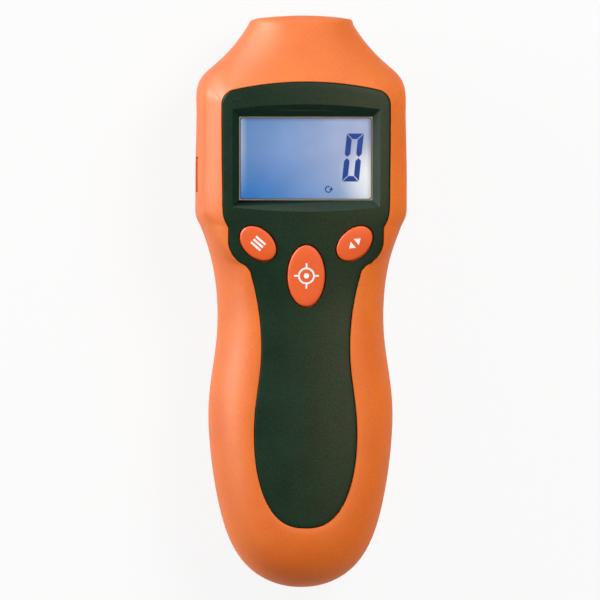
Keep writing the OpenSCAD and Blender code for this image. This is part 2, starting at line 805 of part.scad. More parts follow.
// Battery lead from the snap up through the slot in the battery box to the board
module battery_lead(x) {
    lead([
        [x, cell_top + snap_t, cell_mid],
        [x, cell_top + snap_t + 1.6, cell_mid],
        [x, cell_top + lead_run - 1.1, cell_mid + 2.2],
        [x, cell_top + lead_run - 0.5, cell_mid + 5.4],
        [x, cell_top + lead_run - 0.4, bay_roof + 2.4],
        [x, cell_top + lead_run, board_z - 1.2],
        [x, cell_top + lead_run, board_z]], 0.7);
}

module red_lead() {
    color([0.75, 0.1, 0.08])
    battery_lead(2.4);
}

module black_lead() {
    color([0.06, 0.06, 0.06])
    battery_lead(-2.4);
}

// Door: the piece of the back inside the opening, set in a little, with side tongues and thumb grooves
module battery_door() {
    color([0.88, 0.4, 0.14])
    difference() {
        union() {
            intersection() {
                bowl_skin(door_in, door_t, 5, 4);
                span([-door_hw + door_gap, butt_y - 1, -1],
                    [door_hw - door_gap, door_top - door_gap, door_lip - door_gap]);
            }
            for (s = [-1, 1]) {
                span([s > 0 ? door_hw - 1.2 : -door_hw - 0.9, cell_y + 11, tongue_z],
                    [s > 0 ? door_hw + 0.9 : -door_hw + 1.2, door_top - 1.6, tongue_z + tongue_t]);
            }
        }
        for (k = [0:4]) {
            span([-7, door_top - 8 - 2.4 * k, -1], [7, door_top - 6.8 - 2.4 * k, door_in + 0.5]);
        }
    }
}

module battery_pad() {
    color([0.2, 0.2, 0.2])
    span([-9, cell_y + 11, door_in + door_t], [9, cell_top - 6, cell_z - 0.3]);
}

module port_plug() {
    color([0.8, 0.36, 0.13])
    union() {
        span([-head_w / 2 + 0.45, port_y - port_len / 2, zp - port_h / 2],
            [-head_w / 2 + wall + 0.6, port_y + port_len / 2, zp + port_h / 2]);
        span([-head_w / 2 + wall + 0.22, port_y - port_len / 2 - 1, zp - port_h / 2 - 1],
            [-head_w / 2 + wall + 1.4, port_y + port_len / 2 + 1, zp + port_h / 2 + 1]);
    }
}

module case_screws() {
    color([0.72, 0.72, 0.74])
    for (p = case_screws_at) {
        difference() {
            union() {
                translate([p[0], p[1], p[2] - screw_head_h])
                cylinder(r = screw_head_r, h = screw_head_h);
                translate([p[0], p[1], p[2] - 0.5])
                cylinder(r = screw_r, h = screw_tip - p[2] + 0.5);
            }
            translate([p[0], p[1], p[2] - screw_head_h])
            cube([3, 0.8, 2], center = true);
            translate([p[0], p[1], p[2] - screw_head_h])
            cube([0.8, 3, 2], center = true);
        }
    }
}

front_shell();
back_shell();
face_panel();
display_window();
mem_button();
mode_button();
measure_button();
mem_switch();
mode_switch();
measure_switch();
mem_plunger();
mode_plunger();
measure_plunger();
lcd_glass();
lcd_frame();
zebra_strips();
backlight();
main_board();
board_screws();
microcontroller();
driver_chip();
crystal();
capacitor();
nose_bezel();
sensor_lens();
laser_window();
laser_barrel();
laser_diode();
laser_leads();
sensor_tube();
photodiode();
sensor_board();
optics_bracket();
battery_body();
battery_terminals();
battery_snap();
red_lead();
black_lead();
battery_door();
battery_pad();
port_plug();
case_screws();
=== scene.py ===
import json
import math

import bmesh
import bpy
from mathutils import Matrix, Vector


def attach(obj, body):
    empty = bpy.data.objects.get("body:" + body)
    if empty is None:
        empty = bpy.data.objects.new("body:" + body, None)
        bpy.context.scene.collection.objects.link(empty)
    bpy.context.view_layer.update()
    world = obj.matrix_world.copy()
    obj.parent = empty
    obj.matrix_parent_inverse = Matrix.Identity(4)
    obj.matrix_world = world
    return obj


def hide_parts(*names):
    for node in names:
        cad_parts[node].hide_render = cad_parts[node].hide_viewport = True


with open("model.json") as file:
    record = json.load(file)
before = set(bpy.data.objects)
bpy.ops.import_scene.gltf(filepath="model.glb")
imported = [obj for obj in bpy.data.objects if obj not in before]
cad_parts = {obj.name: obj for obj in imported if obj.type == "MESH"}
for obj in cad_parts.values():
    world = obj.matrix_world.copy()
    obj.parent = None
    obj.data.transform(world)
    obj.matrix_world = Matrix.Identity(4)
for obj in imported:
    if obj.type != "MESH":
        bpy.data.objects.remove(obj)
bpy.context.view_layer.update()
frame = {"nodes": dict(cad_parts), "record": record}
print("frame loaded:", len(frame["nodes"]), "nodes")

mm = 0.001
weld = 0.0004          # points closer than this in millimetres become one

# the body's own measures in millimetres, the same as in the solids
body = {
    "partingZ": 21.0, "noseY": 80.0, "buttY": -80.0, "shoulderY": 59.2, "baseY": 24.0, "baseLead": 1.6,
    "waistY": -4.6, "gripY": -31.5, "noseHalf": 14.5, "headHalf": 29.3, "waistHalf": 23.0,
    "gripHalf": 25.6, "noseRound": 1.9, "noseArch": 0.8, "noseFall": 0.0139, "wall": 2.4,
    "padWidth": 0.62, "padNose": 28.0, "padButt": 20.0,
    "fine": 3,         # smooth rows between two rows of the solid
}
partingZ = body["partingZ"]

# the outline: handles of the flare from nose to head, the step down to the handle, the round of the butt
flare = {"noseOut": 8.8, "noseBack": 13.2, "headIn": 1.2, "headUp": 6.6, "headEnd": 0.4, "pace": 1.3,
         "tighten": 0.4}
waistStep = {"baseIn": 0.75, "join": 0.2, "power": 2.25}
butt = {"taper": 0.36, "taperPower": 1.8, "square": 8, "round": 0.48, "rows": 12}

# the face: how far it sags beside its ridge, its drop from head to handle and its fall at the butt
crown = {
    "headSag": 0.0032, "handleSag": 0.0068, "sagFrom": 4.0, "sagOver": 30.0,
    "drop": 2.8, "dropFrom": 8.0, "dropOver": 38.0, "buttFall": 3.0,
}

# the green face panel
panel = {
    "topY": 61.1, "endY": -63.2, "half": 23.5, "topRadius": 93.0, "corner": 4.2, "cornerEnd": 0.6,
    "sideBow": 0.3, "baseIn": 1.6, "baseRun": 5.0, "lobeRadius": 8.05, "lobeX": 13.6, "lobeY": 17.4,
    "lobeFrom": 8, "lobeTurn": 19, "stripTop": 8.35, "stripHalf": 12.26, "stripY": -13.0,
    "stripFlare": 0.0069, "bulgeHalf": 14.3, "bulgeY": -36.5, "endBulge": 2.2, "endRound": 0.4,
    "thick": 1.5, "gap": 0.15, "ledge": 2.0, "edgeRound": 0.35, "spineLow": -49.0, "spineHigh": 46.0,
    "across": 11,
}

# display opening, window and liquid crystal cell
display = {
    "y": 39.9, "halfX": 18.6, "halfY": 11.6, "windowTop": 38.5, "windowLow": 37.3, "windowRound": 0.1,
    "lip": 1.0, "play": 0.02, "recess": 5.0, "collar": 1.3, "collarDrop": 0.4,
    "cellTop": 37.18, "cellLow": 35.1, "cellIn": 0.4, "cellOut": 0.6, "cellRound": 0.15,
}

# the three keys: centre, half length, half width, turn in degrees
keys = {
    "mem": {"at": (-13.5, 16.2), "long": 5.74, "wide": 3.92, "turn": -41.5},
    "mode": {"at": (13.5, 16.2), "long": 5.74, "wide": 3.92, "turn": 41.5},
    "measure": {"at": (0.0, 7.15), "long": 5.18, "wide": 8.55, "turn": 0.0},
}
keyShape = {"gap": 0.4, "top": 0.86, "deep": 3.9, "points": 96, "holeLow": 25.0, "holeHigh": 46.0}


def mix(a, b, t):
    return a + (b - a) * t


def ease(t):
    return (1 - math.cos(math.pi * min(max(t, 0), 1))) / 2


def egg(s):
    return max(1 - max(s, 0) ** panel["endBulge"], 0) ** panel["endRound"]


def buttEnd(s):
    return (1 - butt["taper"] * s ** butt["taperPower"]) * max(1 - s ** butt["square"], 0) ** butt["round"]


def endShare(k):
    # rows crowd together towards the butt
    return math.sin(math.pi / 2 * k / butt["rows"])


def bez(a, b, c, d, t):
    return (1 - t) ** 3 * a + 3 * (1 - t) ** 2 * t * b + 3 * (1 - t) * t * t * c + t ** 3 * d


def faceZ(x, y):
    # height of the crowned face: its ridge drops to the handle and falls away at the butt
    fall = crown["buttFall"] * (max(body["gripY"] - y, 0) / (body["gripY"] - body["buttY"])) ** 2
    drop = crown["drop"] * ease((body["baseY"] + crown["dropFrom"] - y) / crown["dropOver"])
    sag = mix(crown["headSag"], crown["handleSag"],
              ease((body["baseY"] + crown["sagFrom"] - y) / crown["sagOver"]))
    return partingZ + (partingZ - drop - fall) - sag * x * x


def stripHalf(y):
    if y > panel["stripY"]:
        return panel["stripHalf"] + panel["stripFlare"] * (y - panel["stripY"]) ** 2
    if y > panel["bulgeY"]:
        return mix(panel["stripHalf"], panel["bulgeHalf"],
                   ease((panel["stripY"] - y) / (panel["stripY"] - panel["bulgeY"])))
    return panel["bulgeHalf"] * egg((panel["bulgeY"] - y) / (panel["bulgeY"] - panel["endY"]))


def panelHalf():
    # right half of the panel outline, nose to butt, row for row beside edgeHalf
    half, corner, top, bow = panel["half"], panel["corner"], panel["topRadius"], panel["sideBow"]
    cornerX = half - corner
    cornerY = panel["topY"] - top + math.sqrt((top - corner) ** 2 - cornerX ** 2)
    turn = math.asin(cornerX / (top - corner))
    base = body["baseY"] + body["baseLead"]
    rows = []
    for k in range(4):                                  # arched top
        a = turn * k / 4
        rows.append((top * math.sin(a), panel["topY"] - top * (1 - math.cos(a))))
    for k in range(12):                                 # corner
        a = mix(turn, math.pi / 2, k / 11)
        rows.append((cornerX + corner * math.sin(a), cornerY + corner * math.cos(a)))
    # side of the head, its turn inwards, and the lobe beside a key
    rows += [(half - bow * (k / 6) ** 2, mix(cornerY - panel["cornerEnd"], base, k / 6)) for k in range(1, 7)]
    rows += [(half - bow - panel["baseIn"] * (k / 3) ** 2, base - panel["baseRun"] * k / 3)
             for k in range(1, 4)]
    for k in range(5):
        a = math.radians(panel["lobeFrom"] - panel["lobeTurn"] * k)
        rows.append((panel["lobeX"] + panel["lobeRadius"] * math.cos(a),
                     panel["lobeY"] + panel["lobeRadius"] * math.sin(a)))
    heights = [mix(panel["stripTop"], body["waistY"], k / 3) for k in range(4)]
    heights += [mix(body["waistY"], body["gripY"], k / 6) for k in range(1, 7)]
    heights += [mix(body["gripY"], panel["endY"], endShare(k)) for k in range(1, butt["rows"])]
    return rows + [(stripHalf(y), y) for y in heights] + [(0.0, panel["endY"])]


def edgeHalf(inset):
    # right half of the parting outline, set in by a wall thickness
    nose, head = body["noseHalf"] - inset, body["headHalf"] - inset
    waist, grip = body["waistHalf"] - inset, body["gripHalf"] - inset
    noseY, shoulder, base = body["noseY"] - inset, body["shoulderY"], body["baseY"]
    lead, headEnd = base + body["baseLead"], head - flare["headEnd"]
    r, cornerY = body["noseRound"] - flare["tighten"] * inset, noseY - body["noseArch"]
    flat, flareY, rise = nose - r, cornerY - r, head - waistStep["join"] - waist
    rows = [(flat * k / 4, noseY - body["noseArch"] * (k / 4) ** 2) for k in range(4)]
    for k in range(3):                                  # corner of the nose
        a = math.radians(40 * k)
        rows.append((flat + r * math.sin(a), cornerY - r * (1 - math.cos(a))))
    rows += [(bez(nose, nose + flare["noseOut"], head - flare["headIn"], headEnd, k / 9),
              bez(flareY, flareY - flare["noseBack"], shoulder + flare["headUp"], shoulder, k / 9))
             for k in range(1, 10)]
    rows += [(mix(headEnd, head, ease(k / 6 * flare["pace"])), mix(shoulder - 1, lead, k / 6))
             for k in range(1, 7)]
    rows += [(head - waistStep["baseIn"] * (k / 3) ** 2, lead - k) for k in range(1, 4)]
    # down to the waist, with rows close together at the head
    for s in [mix(0.91, 0.59, k / 4) for k in range(5)] + [mix(0.5, 0, k / 3) for k in range(4)]:
        rows.append((waist + rise * s ** waistStep["power"], mix(body["waistY"], base, s)))
    rows += [(mix(waist, grip, ease(k / 6)), mix(body["waistY"], body["gripY"], k / 6)) for k in range(1, 7)]
    for k in range(1, butt["rows"]):
        s = endShare(k)
        rows.append((grip * buttEnd(s), mix(body["gripY"], body["buttY"] + inset, s)))
    return rows + [(0.0, body["buttY"] + inset)]


def shapeHalf():
    # roundness and fall of the front, then of the back, on each row
    rows = [(8, 0.085, 7, 0.48)] * 4                                                      # nose
    rows += [(7 - 0.4 * k, 0.085, 6.4 - 0.4 * k, 0.47 - 0.01 * k) for k in range(3)]      # its corner
    rows += [(mix(6, 3, ease(t * 1.1)), 0.085, mix(5.4, 3.2, ease(t)), mix(0.45, 0, ease(t)))
             for t in [k / 9 for k in range(1, 10)]]                                      # flare
    rows += [(3, 0.085, 3.2, 0)] * 9                                                      # head
    rows += [(2.8 - 0.1 * k, 0.08, 3.2, 0) for k in range(5)]                             # step
    return rows + [(2.32, 0.06, 3.2, 0)] * 22                                             # handle and butt


def smoothRows(rows, corners=()):
    # a curve through the rows, level at both ends and broken at the corners
    pts = [Vector(p) for p in rows]
    last = len(pts) - 1
    chord = [(pts[i + 1] - pts[i]).length for i in range(last)]

    def slope(i, side):
        if i in (0, last):
            return Vector((1.0 if i == 0 else -1.0, 0.0))
        before, after = (pts[i] - pts[i - 1]) / chord[i - 1], (pts[i + 1] - pts[i]) / chord[i]
        if i in corners:
            return after if side > 0 else before
        return (before * chord[i] + after * chord[i - 1]) / (chord[i] + chord[i - 1])

    out = []
    for i in range(last):
        a, b = slope(i, 1) * chord[i], slope(i + 1, -1) * chord[i]
        for k in range(body["fine"]):
            t = k / body["fine"]
            out.append(pts[i] * (2 * t ** 3 - 3 * t * t + 1) + a * (t ** 3 - 2 * t * t + t)
                       + pts[i + 1] * (3 * t * t - 2 * t ** 3) + b * (t ** 3 - t * t))
    widest = max(p.x for p in pts)
    return [Vector((min(p.x, widest), p.y)) for p in out] + [pts[last]]


def mirrorLoop(rows):
    return rows + [Vector((-p.x, p.y)) for p in reversed(rows[1:-1])]


def outwardOf(points):
    n = len(points)
    out = []
    for i in range(n):
        d = points[(i + 1) % n] - points[i - 1]
        out.append(Vector((-d.y, d.x)).normalized())
    return out


def shapeRows():
    rows = shapeHalf()
    fine = body["fine"]
    out = []
    for a, b in zip(rows, rows[1:]):
        out += [tuple(mix(u, v, k / fine) for u, v in zip(a, b)) for k in range(fine)]
    out.append(rows[-1])
    return out + list(reversed(out[1:-1]))


panelLoop = mirrorLoop(smoothRows(panelHalf(), corners=(24, 25, 29, 30)))
panelOut = outwardOf(panelLoop)
edgeLoop = mirrorLoop(smoothRows(edgeHalf(0)))
rimLoop = mirrorLoop(smoothRows(edgeHalf(body["wall"])))
shapeLoop = shapeRows()
rowCount = len(panelLoop)
print("outlines:", rowCount, "rows")


def arcPoint(p, q, height, n, fall, t):
    # point of the rounded strip between an inner plan point and an outer one
    f = math.sin(math.pi / 2 * t) ** (2 / min(n, 3))
    g = max(1 - f ** n, 0) ** (1 / n)
    xy = p + (q - p) * f
    return Vector((xy.x, xy.y, height * g * (1 - fall * f)))


def clearSelection():
    if bpy.context.object and bpy.context.object.mode != "OBJECT":
        bpy.ops.object.mode_set(mode="OBJECT")
    bpy.ops.object.select_all(action="DESELECT")


def pick(piece):
    clearSelection()
    piece.select_set(True)
    bpy.context.view_layer.objects.active = piece


def openMesh(piece, kind="VERT", take="DESELECT"):
    # edit mode, with nothing or everything selected
    pick(piece)
    bpy.ops.object.mode_set(mode="EDIT")
    bpy.ops.mesh.select_mode(type=kind)
    bpy.ops.mesh.select_all(action=take)
    return bmesh.from_edit_mesh(piece.data)


def named(name):
    piece = bpy.context.active_object
    piece.name = name
    piece.data.name = name
    bpy.ops.object.transform_apply(location=True, rotation=True, scale=True)
    return piece


def loft(name, rings, closed=False, caps=True):
    # a circle is drawn, extruded ring by ring, and each ring is set on its outline
    clearSelection()
    bpy.ops.mesh.primitive_circle_add(vertices=len(rings[0]), radius=mm)
    piece = named(name)
    openMesh(piece, take="SELECT")
    row = list(range(len(rings[0])))
    for k, ring in enumerate(rings):
        if k:
            bpy.ops.mesh.extrude_region()
        shape = bmesh.from_edit_mesh(piece.data)
        shape.verts.ensure_lookup_table()
        if k:
            above = []
            for i in row:
                vert = shape.verts[i]
                others = [edge.other_vert(vert) for edge in vert.link_edges]
                above.append(next(other.index for other in others if other.select))
            row = above
        for i, p in zip(row, ring):
            shape.verts[i].co = Vector(p) * mm
        shape.verts.index_update()
        bmesh.update_edit_mesh(piece.data)
    first, final = set(range(len(rings[0]))), set(row)
    for ends in ([first | final] if closed else [first, final] if caps else []):
        shape = openMesh(piece)
        for edge in shape.edges:
            edge.select = edge.is_boundary and all(v.index in ends for v in edge.verts)
        bmesh.update_edit_mesh(piece.data)
        bpy.ops.mesh.select_mode(type="EDGE")
        if closed:
            bpy.ops.mesh.bridge_edge_loops()
        else:
            bpy.ops.mesh.edge_face_add()
    openMesh(piece, take="SELECT")
    bpy.ops.mesh.remove_doubles(threshold=weld * mm)
    bpy.ops.mesh.normals_make_consistent(inside=False)
    bpy.ops.object.mode_set(mode="OBJECT")
    return piece


def turned(name, profile, centre, axis="Z", points=64):
    # a round piece from (radius, height) steps along one axis
    rings = []
    for radius, height in profile:
        ring = []
        for k in range(points):
            a = 2 * math.pi * k / points
            u, v = radius * math.cos(a), radius * math.sin(a)
            off = {"Z": (u, v, height), "Y": (u, height, v), "X": (height, u, v)}[axis]
            ring.append(Vector(centre) + Vector(off))
        rings.append(ring)
    return loft(name, rings)


def block(name, low, high, soft=0.0, steps=3):
    # a cube set to its corners, with its edges rounded
    clearSelection()
    lo, hi = Vector(low) * mm, Vector(high) * mm
    bpy.ops.mesh.primitive_cube_add(size=1, location=(lo + hi) / 2, scale=hi - lo)
    piece = named(name)
    if soft:
        addBevel(piece, soft, steps)
    return piece


def addBevel(piece, width, steps, angle=40):
    pick(piece)
    bevel = piece.modifiers.new("round", "BEVEL")
    bevel.width = width * mm
    bevel.segments = steps
    bevel.limit_method = "ANGLE"
    bevel.angle_limit = math.radians(angle)
    bevel.harden_normals = False
    bpy.ops.object.modifier_apply(modifier=bevel.name)


def roundAlong(piece, axis, width, steps):
    # rounds only the edges that run along one axis
    shape = openMesh(piece, "EDGE")
    for edge in shape.edges:
        d = (edge.verts[1].co - edge.verts[0].co).normalized()
        edge.select = abs(d["XYZ".index(axis)]) > 0.999
    bmesh.update_edit_mesh(piece.data)
    bpy.ops.mesh.bevel(offset=width * mm, segments=steps)
    openMesh(piece, take="SELECT")
    bpy.ops.mesh.remove_doubles(threshold=weld * mm)
    bpy.ops.object.mode_set(mode="OBJECT")


def stadium(name, halfX, halfZ, y0, y1):
    piece = block(name, (-halfX, y0, partingZ - halfZ), (halfX, y1, partingZ + halfZ))
    roundAlong(piece, "Y", halfZ, 20)
    return piece


def carve(piece, tool, how="DIFFERENCE", careful=False):
    pick(piece)
    cut = piece.modifiers.new("cut", "BOOLEAN")
    cut.operation = how
    cut.solver = "EXACT"
    cut.use_self = careful
    cut.object = tool
    bpy.ops.object.modifier_apply(modifier=cut.name)
    bpy.data.objects.remove(tool, do_unlink=True)
    return piece


def joined(name, parts):
    clearSelection()
    for part in parts:
        part.select_set(True)
    bpy.context.view_layer.objects.active = parts[0]
    bpy.ops.object.join()
    parts[0].name = name
    parts[0].data.name = name
    return parts[0]


def dress(piece, finish, rides, stands=(), angle=32):
    pick(piece)
    bpy.ops.object.shade_smooth_by_angle(angle=math.radians(angle))
    piece.data.materials.clear()
    piece.data.materials.append(finish)
    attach(piece, rides)
    if stands:
        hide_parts(*stands)
    return piece


def linear(text):
    # sRGB hex to linear colour
    parts = [int(text[i:i + 2], 16) / 255 for i in (1, 3, 5)]
    return tuple(c / 12.92 if c <= 0.04045 else ((c + 0.055) / 1.055) ** 2.4 for c in parts) + (1.0,)


def perSize(size):
    return 1 / (size * mm)       # texture scale for a pattern of that size in millimetres


def feed(tree, node, links):
    # links inputs to sockets, or to the first output of other nodes
    for key, source in dict(links).items():
        tree.links.new(source.outputs[0] if isinstance(source, bpy.types.Node) else source, node.inputs[key])


def addNode(tree, kind, values=(), links=()):
    node = tree.nodes.new(kind)
    for key, value in dict(values).items():
        if isinstance(key, str) and hasattr(node, key):
            setattr(node, key, value)
        else:
            node.inputs[key].default_value = value
    feed(tree, node, links)
    return node


def startFinish(name, sockets):
    finish = bpy.data.materials.new(name)
    finish.use_nodes = True
    tree = finish.node_tree
    tree.nodes.clear()
    shader = addNode(tree, "ShaderNodeBsdfPrincipled", sockets)
    addNode(tree, "ShaderNodeOutputMaterial", links={"Surface": shader})
    where = addNode(tree, "ShaderNodeTexCoord").outputs["Object"]
    return finish, tree, shader, where


noiseLow, noiseHigh = 0.3, 0.7         # noise seldom leaves this range


def moulded(name, look):
    # moulded plastic: broad mottle in colour and gloss, fine spark-eroded grain in the surface
    finish, tree, shader, where = startFinish(name, look["sockets"])
    mottle = addNode(tree, "ShaderNodeTexNoise", {"Scale": perSize(look["mottle"]), "Detail": 3.0},
                     {"Vector": where})
    tone = addNode(tree, "ShaderNodeValToRGB", links={"Fac": mottle})
    for stop, place, shade in zip(tone.color_ramp.elements, (noiseLow, noiseHigh), ("dark", "light")):
        stop.position, stop.color = place, linear(look[shade])
    grain = addNode(tree, "ShaderNodeTexNoise",
                    {"Scale": perSize(look["grain"]), "Detail": 2.0, "Roughness": 0.6}, {"Vector": where})
    speck = addNode(tree, "ShaderNodeMapRange",
                    {"From Min": noiseLow, "From Max": noiseHigh, "To Min": 1 - look["speck"],
                     "To Max": 1 + look["speck"]}, {"Value": grain})
    colour = addNode(tree, "ShaderNodeVectorMath", {"operation": "SCALE"}, {0: tone, "Scale": speck})
    rough = addNode(tree, "ShaderNodeMapRange",
                    {"From Min": noiseLow, "From Max": noiseHigh, "To Min": look["rough"][0],
                     "To Max": look["rough"][1]}, {"Value": mottle})
    bump = addNode(tree, "ShaderNodeBump", {"Strength": look["lift"], "Distance": look["grain"] * mm * 0.2},
                   {"Height": grain})
    feed(tree, shader, {"Base Color": colour, "Roughness": rough, "Normal": bump})
    return finish


def plated(name, look):
    # plated or turned metal: fine scratches across the surface and a cloudy tone
    finish, tree, shader, where = startFinish(name, {"Metallic": 1.0})
    cloud = addNode(tree, "ShaderNodeTexNoise", {"Scale": perSize(look["cloud"]), "Detail": 4.0},
                    {"Vector": where})
    tone = addNode(tree, "ShaderNodeValToRGB", links={"Fac": cloud})
    for stop, place, shade in zip(tone.color_ramp.elements, (noiseLow, noiseHigh), ("dark", "light")):
        stop.position, stop.color = place, linear(look[shade])
    stretch = addNode(tree, "ShaderNodeMapping", {"Scale": look["stretch"]}, {"Vector": where})
    scratches = addNode(tree, "ShaderNodeTexNoise", {"Scale": perSize(look["line"]), "Detail": 2.0},
                        {"Vector": stretch})
    rough = addNode(tree, "ShaderNodeMapRange", {"To Min": look["rough"][0], "To Max": look["rough"][1]},
                    {"Value": scratches})
    bump = addNode(tree, "ShaderNodeBump", {"Strength": 0.15, "Distance": 0.02 * mm}, {"Height": scratches})
    feed(tree, shader, {"Base Color": tone, "Roughness": rough, "Normal": bump})
    return finish


# ABS with a fine spark-eroded skin: satin, so highlights are broad and soft.
# The real grain of 0.1 mm is too fine for the picture and is drawn at 0.55 mm.
orangeAbs = moulded("orangeAbsSatin", {
    "dark": "#DB640E", "light": "#E36E14", "mottle": 14, "grain": 0.55, "speck": 0.06, "lift": 0.2,
    "rough": (0.56, 0.64), "sockets": {"IOR": 1.5, "Specular IOR Level": 0.34}})

# keys in the same ABS with a finer, slightly glossier skin
keyAbs = moulded("orangeKeyAbs", {
    "dark": "#E0520F", "light": "#E65A15", "mottle": 6, "grain": 0.5, "speck": 0.03, "lift": 0.12,
    "rough": (0.48, 0.56), "sockets": {"IOR": 1.5, "Specular IOR Level": 0.34}})

# dark green ABS face with a matte leathery grain; 0.3 mm grain drawn at 0.6 mm so that it shows
greenAbs = moulded("greenAbsGrained", {
    "dark": "#062010", "light": "#092715", "mottle": 10, "grain": 0.6, "speck": 0.35, "lift": 0.35,
    "rough": (0.38, 0.46), "sockets": {"IOR": 1.5, "Specular IOR Level": 0.11}})

# a warm grey satin ring round the window: its colour is a painted highlight, standing for the light caught by
# the window's edge
rimAbs = moulded("warmGreyPaintedHighlight", {
    "dark": "#857663", "light": "#93836F", "mottle": 4, "grain": 0.4, "speck": 0.04, "lift": 0.1,
    "rough": (0.35, 0.45), "sockets": {"IOR": 1.5, "Specular IOR Level": 0.3}})

# black glass-filled plastic of the nose bezel and the inner mouldings
blackNylon = moulded("blackNylon", {
    "dark": "#0C0C0D", "light": "#151516", "mottle": 5, "grain": 0.5, "speck": 0.1, "lift": 0.2,
    "rough": (0.45, 0.6), "sockets": {"IOR": 1.53, "Specular IOR Level": 0.35}})

# white ink of the key marks, thin and slightly uneven
whiteInk = moulded("whitePrintInk", {
    "dark": "#F2EFEA", "light": "#FBF9F5", "mottle": 2, "grain": 0.4, "speck": 0.02, "lift": 0.05,
    "rough": (0.5, 0.6), "sockets": {"IOR": 1.5, "Specular IOR Level": 0.3}})

# white moulded ABS of the display frame
whiteAbs = moulded("whiteAbs", {
    "dark": "#D8D8D2", "light": "#E2E2DC", "mottle": 8, "grain": 0.4, "speck": 0.02, "lift": 0.1,
    "rough": (0.45, 0.55), "sockets": {"IOR": 1.5}})

# milky acrylic light guide
milkyAcrylic = moulded("milkyAcrylic", {
    "dark": "#E6EBF2", "light": "#F2F5F9", "mottle": 6, "grain": 0.5, "speck": 0.01, "lift": 0.03,
    "rough": (0.2, 0.3), "sockets": {"IOR": 1.49}})

# layered silicone connector strips
siliconeStrip = moulded("pinkSilicone", {
    "dark": "#A8727E", "light": "#C48C97", "mottle": 1.2, "grain": 0.3, "speck": 0.1, "lift": 0.1,
    "rough": (0.6, 0.7), "sockets": {"IOR": 1.41}})

# glass-epoxy board under green solder mask: glossy, with faint weave
boardMask = moulded("solderMaskBoard", {
    "dark": "#123F22", "light": "#1B5530", "mottle": 2.5, "grain": 0.6, "speck": 0.1, "lift": 0.12,
    "rough": (0.25, 0.35), "sockets": {"IOR": 1.55}})

# PVC insulation of the leads
redPvc = moulded("redPvc", {
    "dark": "#A81712", "light": "#BC201A", "mottle": 3, "grain": 0.4, "speck": 0.05, "lift": 0.08,
    "rough": (0.35, 0.45), "sockets": {"IOR": 1.53}})
blackPvc = moulded("blackPvc", {
    "dark": "#101011", "light": "#18181A", "mottle": 3, "grain": 0.4, "speck": 0.05, "lift": 0.08,
    "rough": (0.35, 0.45), "sockets": {"IOR": 1.53}})

# closed-cell foam of the battery pad
greyFoam = moulded("closedCellFoam", {
    "dark": "#28282A", "light": "#3A3A3D", "mottle": 1.2, "grain": 0.5, "speck": 0.25, "lift": 0.6,
    "rough": (0.85, 0.95), "sockets": {"IOR": 1.4, "Specular IOR Level": 0.2}})

# lacquered steel jacket of the battery and the capacitor can
lacqueredCan = moulded("lacqueredCan", {
    "dark": "#2B3140", "light": "#353C4D", "mottle": 12, "grain": 0.5, "speck": 0.03, "lift": 0.04,
    "rough": (0.25, 0.35), "sockets": {"IOR": 1.5, "Coat Weight": 0.3}})

# zinc-plated steel: bluish grey, cloudy, fine turning marks
zincSteel = plated("zincPlatedSteel", {
    "dark": "#9EA2A6", "light": "#C3C6C9", "cloud": 1.5, "line": 0.2, "stretch": (1, 1, 6),
    "rough": (0.22, 0.42)})

# turned brass of the laser barrel
turnedBrass = plated("turnedBrass", {
    "dark": "#B08B45", "light": "#CDA65A", "cloud": 3, "line": 0.25, "stretch": (1, 8, 1),
    "rough": (0.2, 0.38)})
print("plastics and metals mixed")

# clear acrylic window: nearly all light goes straight through, a little gloss stays
windowLook = {"tint": "#303848", "alpha": 0.04, "swirl": 9.0, "rough": (0.1, 0.16)}
clearAcrylic, tree, shader, where = startFinish("clearAcrylic", {
    "Alpha": windowLook["alpha"], "IOR": 1.49, "Base Color": linear(windowLook["tint"])})
swirl = addNode(tree, "ShaderNodeTexNoise", {"Scale": perSize(windowLook["swirl"])}, {"Vector": where})
rough = addNode(tree, "ShaderNodeMapRange",
                {"To Min": windowLook["rough"][0], "To Max": windowLook["rough"][1]}, {"Value": swirl})
feed(tree, shader, {"Roughness": rough})

# red acrylic filter of the receiver lens and the laser window: dark, glossy, uneven in tone
filterLook = {"deep": "#3A0509", "lit": "#7A1016", "swirl": 3.0, "rough": (0.04, 0.12)}
redAcrylic, tree, shader, where = startFinish("redFilterAcrylic", {
    "IOR": 1.49, "Coat Weight": 0.5, "Coat Roughness": 0.04})
swirl = addNode(tree, "ShaderNodeTexNoise", {"Scale": perSize(filterLook["swirl"])}, {"Vector": where})
tone = addNode(tree, "ShaderNodeValToRGB", links={"Fac": swirl})
for stop, shade in zip(tone.color_ramp.elements, ("deep", "lit")):
    stop.color = linear(filterLook[shade])
rough = addNode(tree, "ShaderNodeMapRange",
                {"To Min": filterLook["rough"][0], "To Max": filterLook["rough"][1]}, {"Value": swirl})
feed(tree, shader, {"Base Color": tone, "Roughness": rough})

# liquid crystal cell on its backlight: blue at the left, pale round a bright spot at the lower right, with a
# lighter strip along the left edge where the light guide ends; its colour glows, partly for the backlight and
# partly as painted light that lifts the shade the recess casts on it
cellLook = {
    "lowLeft": "#1274C2", "highLeft": "#6C95CE", "lowRight": "#9CB2D6", "highRight": "#A6B3D4",
    "lamp": "#FAFDFF", "lampAt": (20.4, 34.4, 37.0), "lampReach": 12.5, "lampFull": 2.2,
    "strip": 2.4, "stripGlow": 0.42, "fullAt": 0.2, "cloud": 7.0, "cloudy": (0.94, 1.05),
    "grain": 0.45, "rough": (0.25, 0.4), "glow": 0.62, "paint": 0.42,
}
# emission stands partly for the backlight and is partly painted light against the recess's shade
lcdCell, tree, shader, where = startFinish("liquidCrystalCell", {
    "IOR": 1.5, "Specular IOR Level": 0.05, "Emission Strength": cellLook["glow"]})
axes = addNode(tree, "ShaderNodeSeparateXYZ", links={0: where})
halfX, halfY, midY = display["halfX"] * mm, display["halfY"] * mm, display["y"] * mm
along = addNode(tree, "ShaderNodeMapRange",
                {"interpolation_type": "SMOOTHSTEP", "From Min": -halfX, "From Max": halfX},
                {"Value": axes.outputs["X"]})
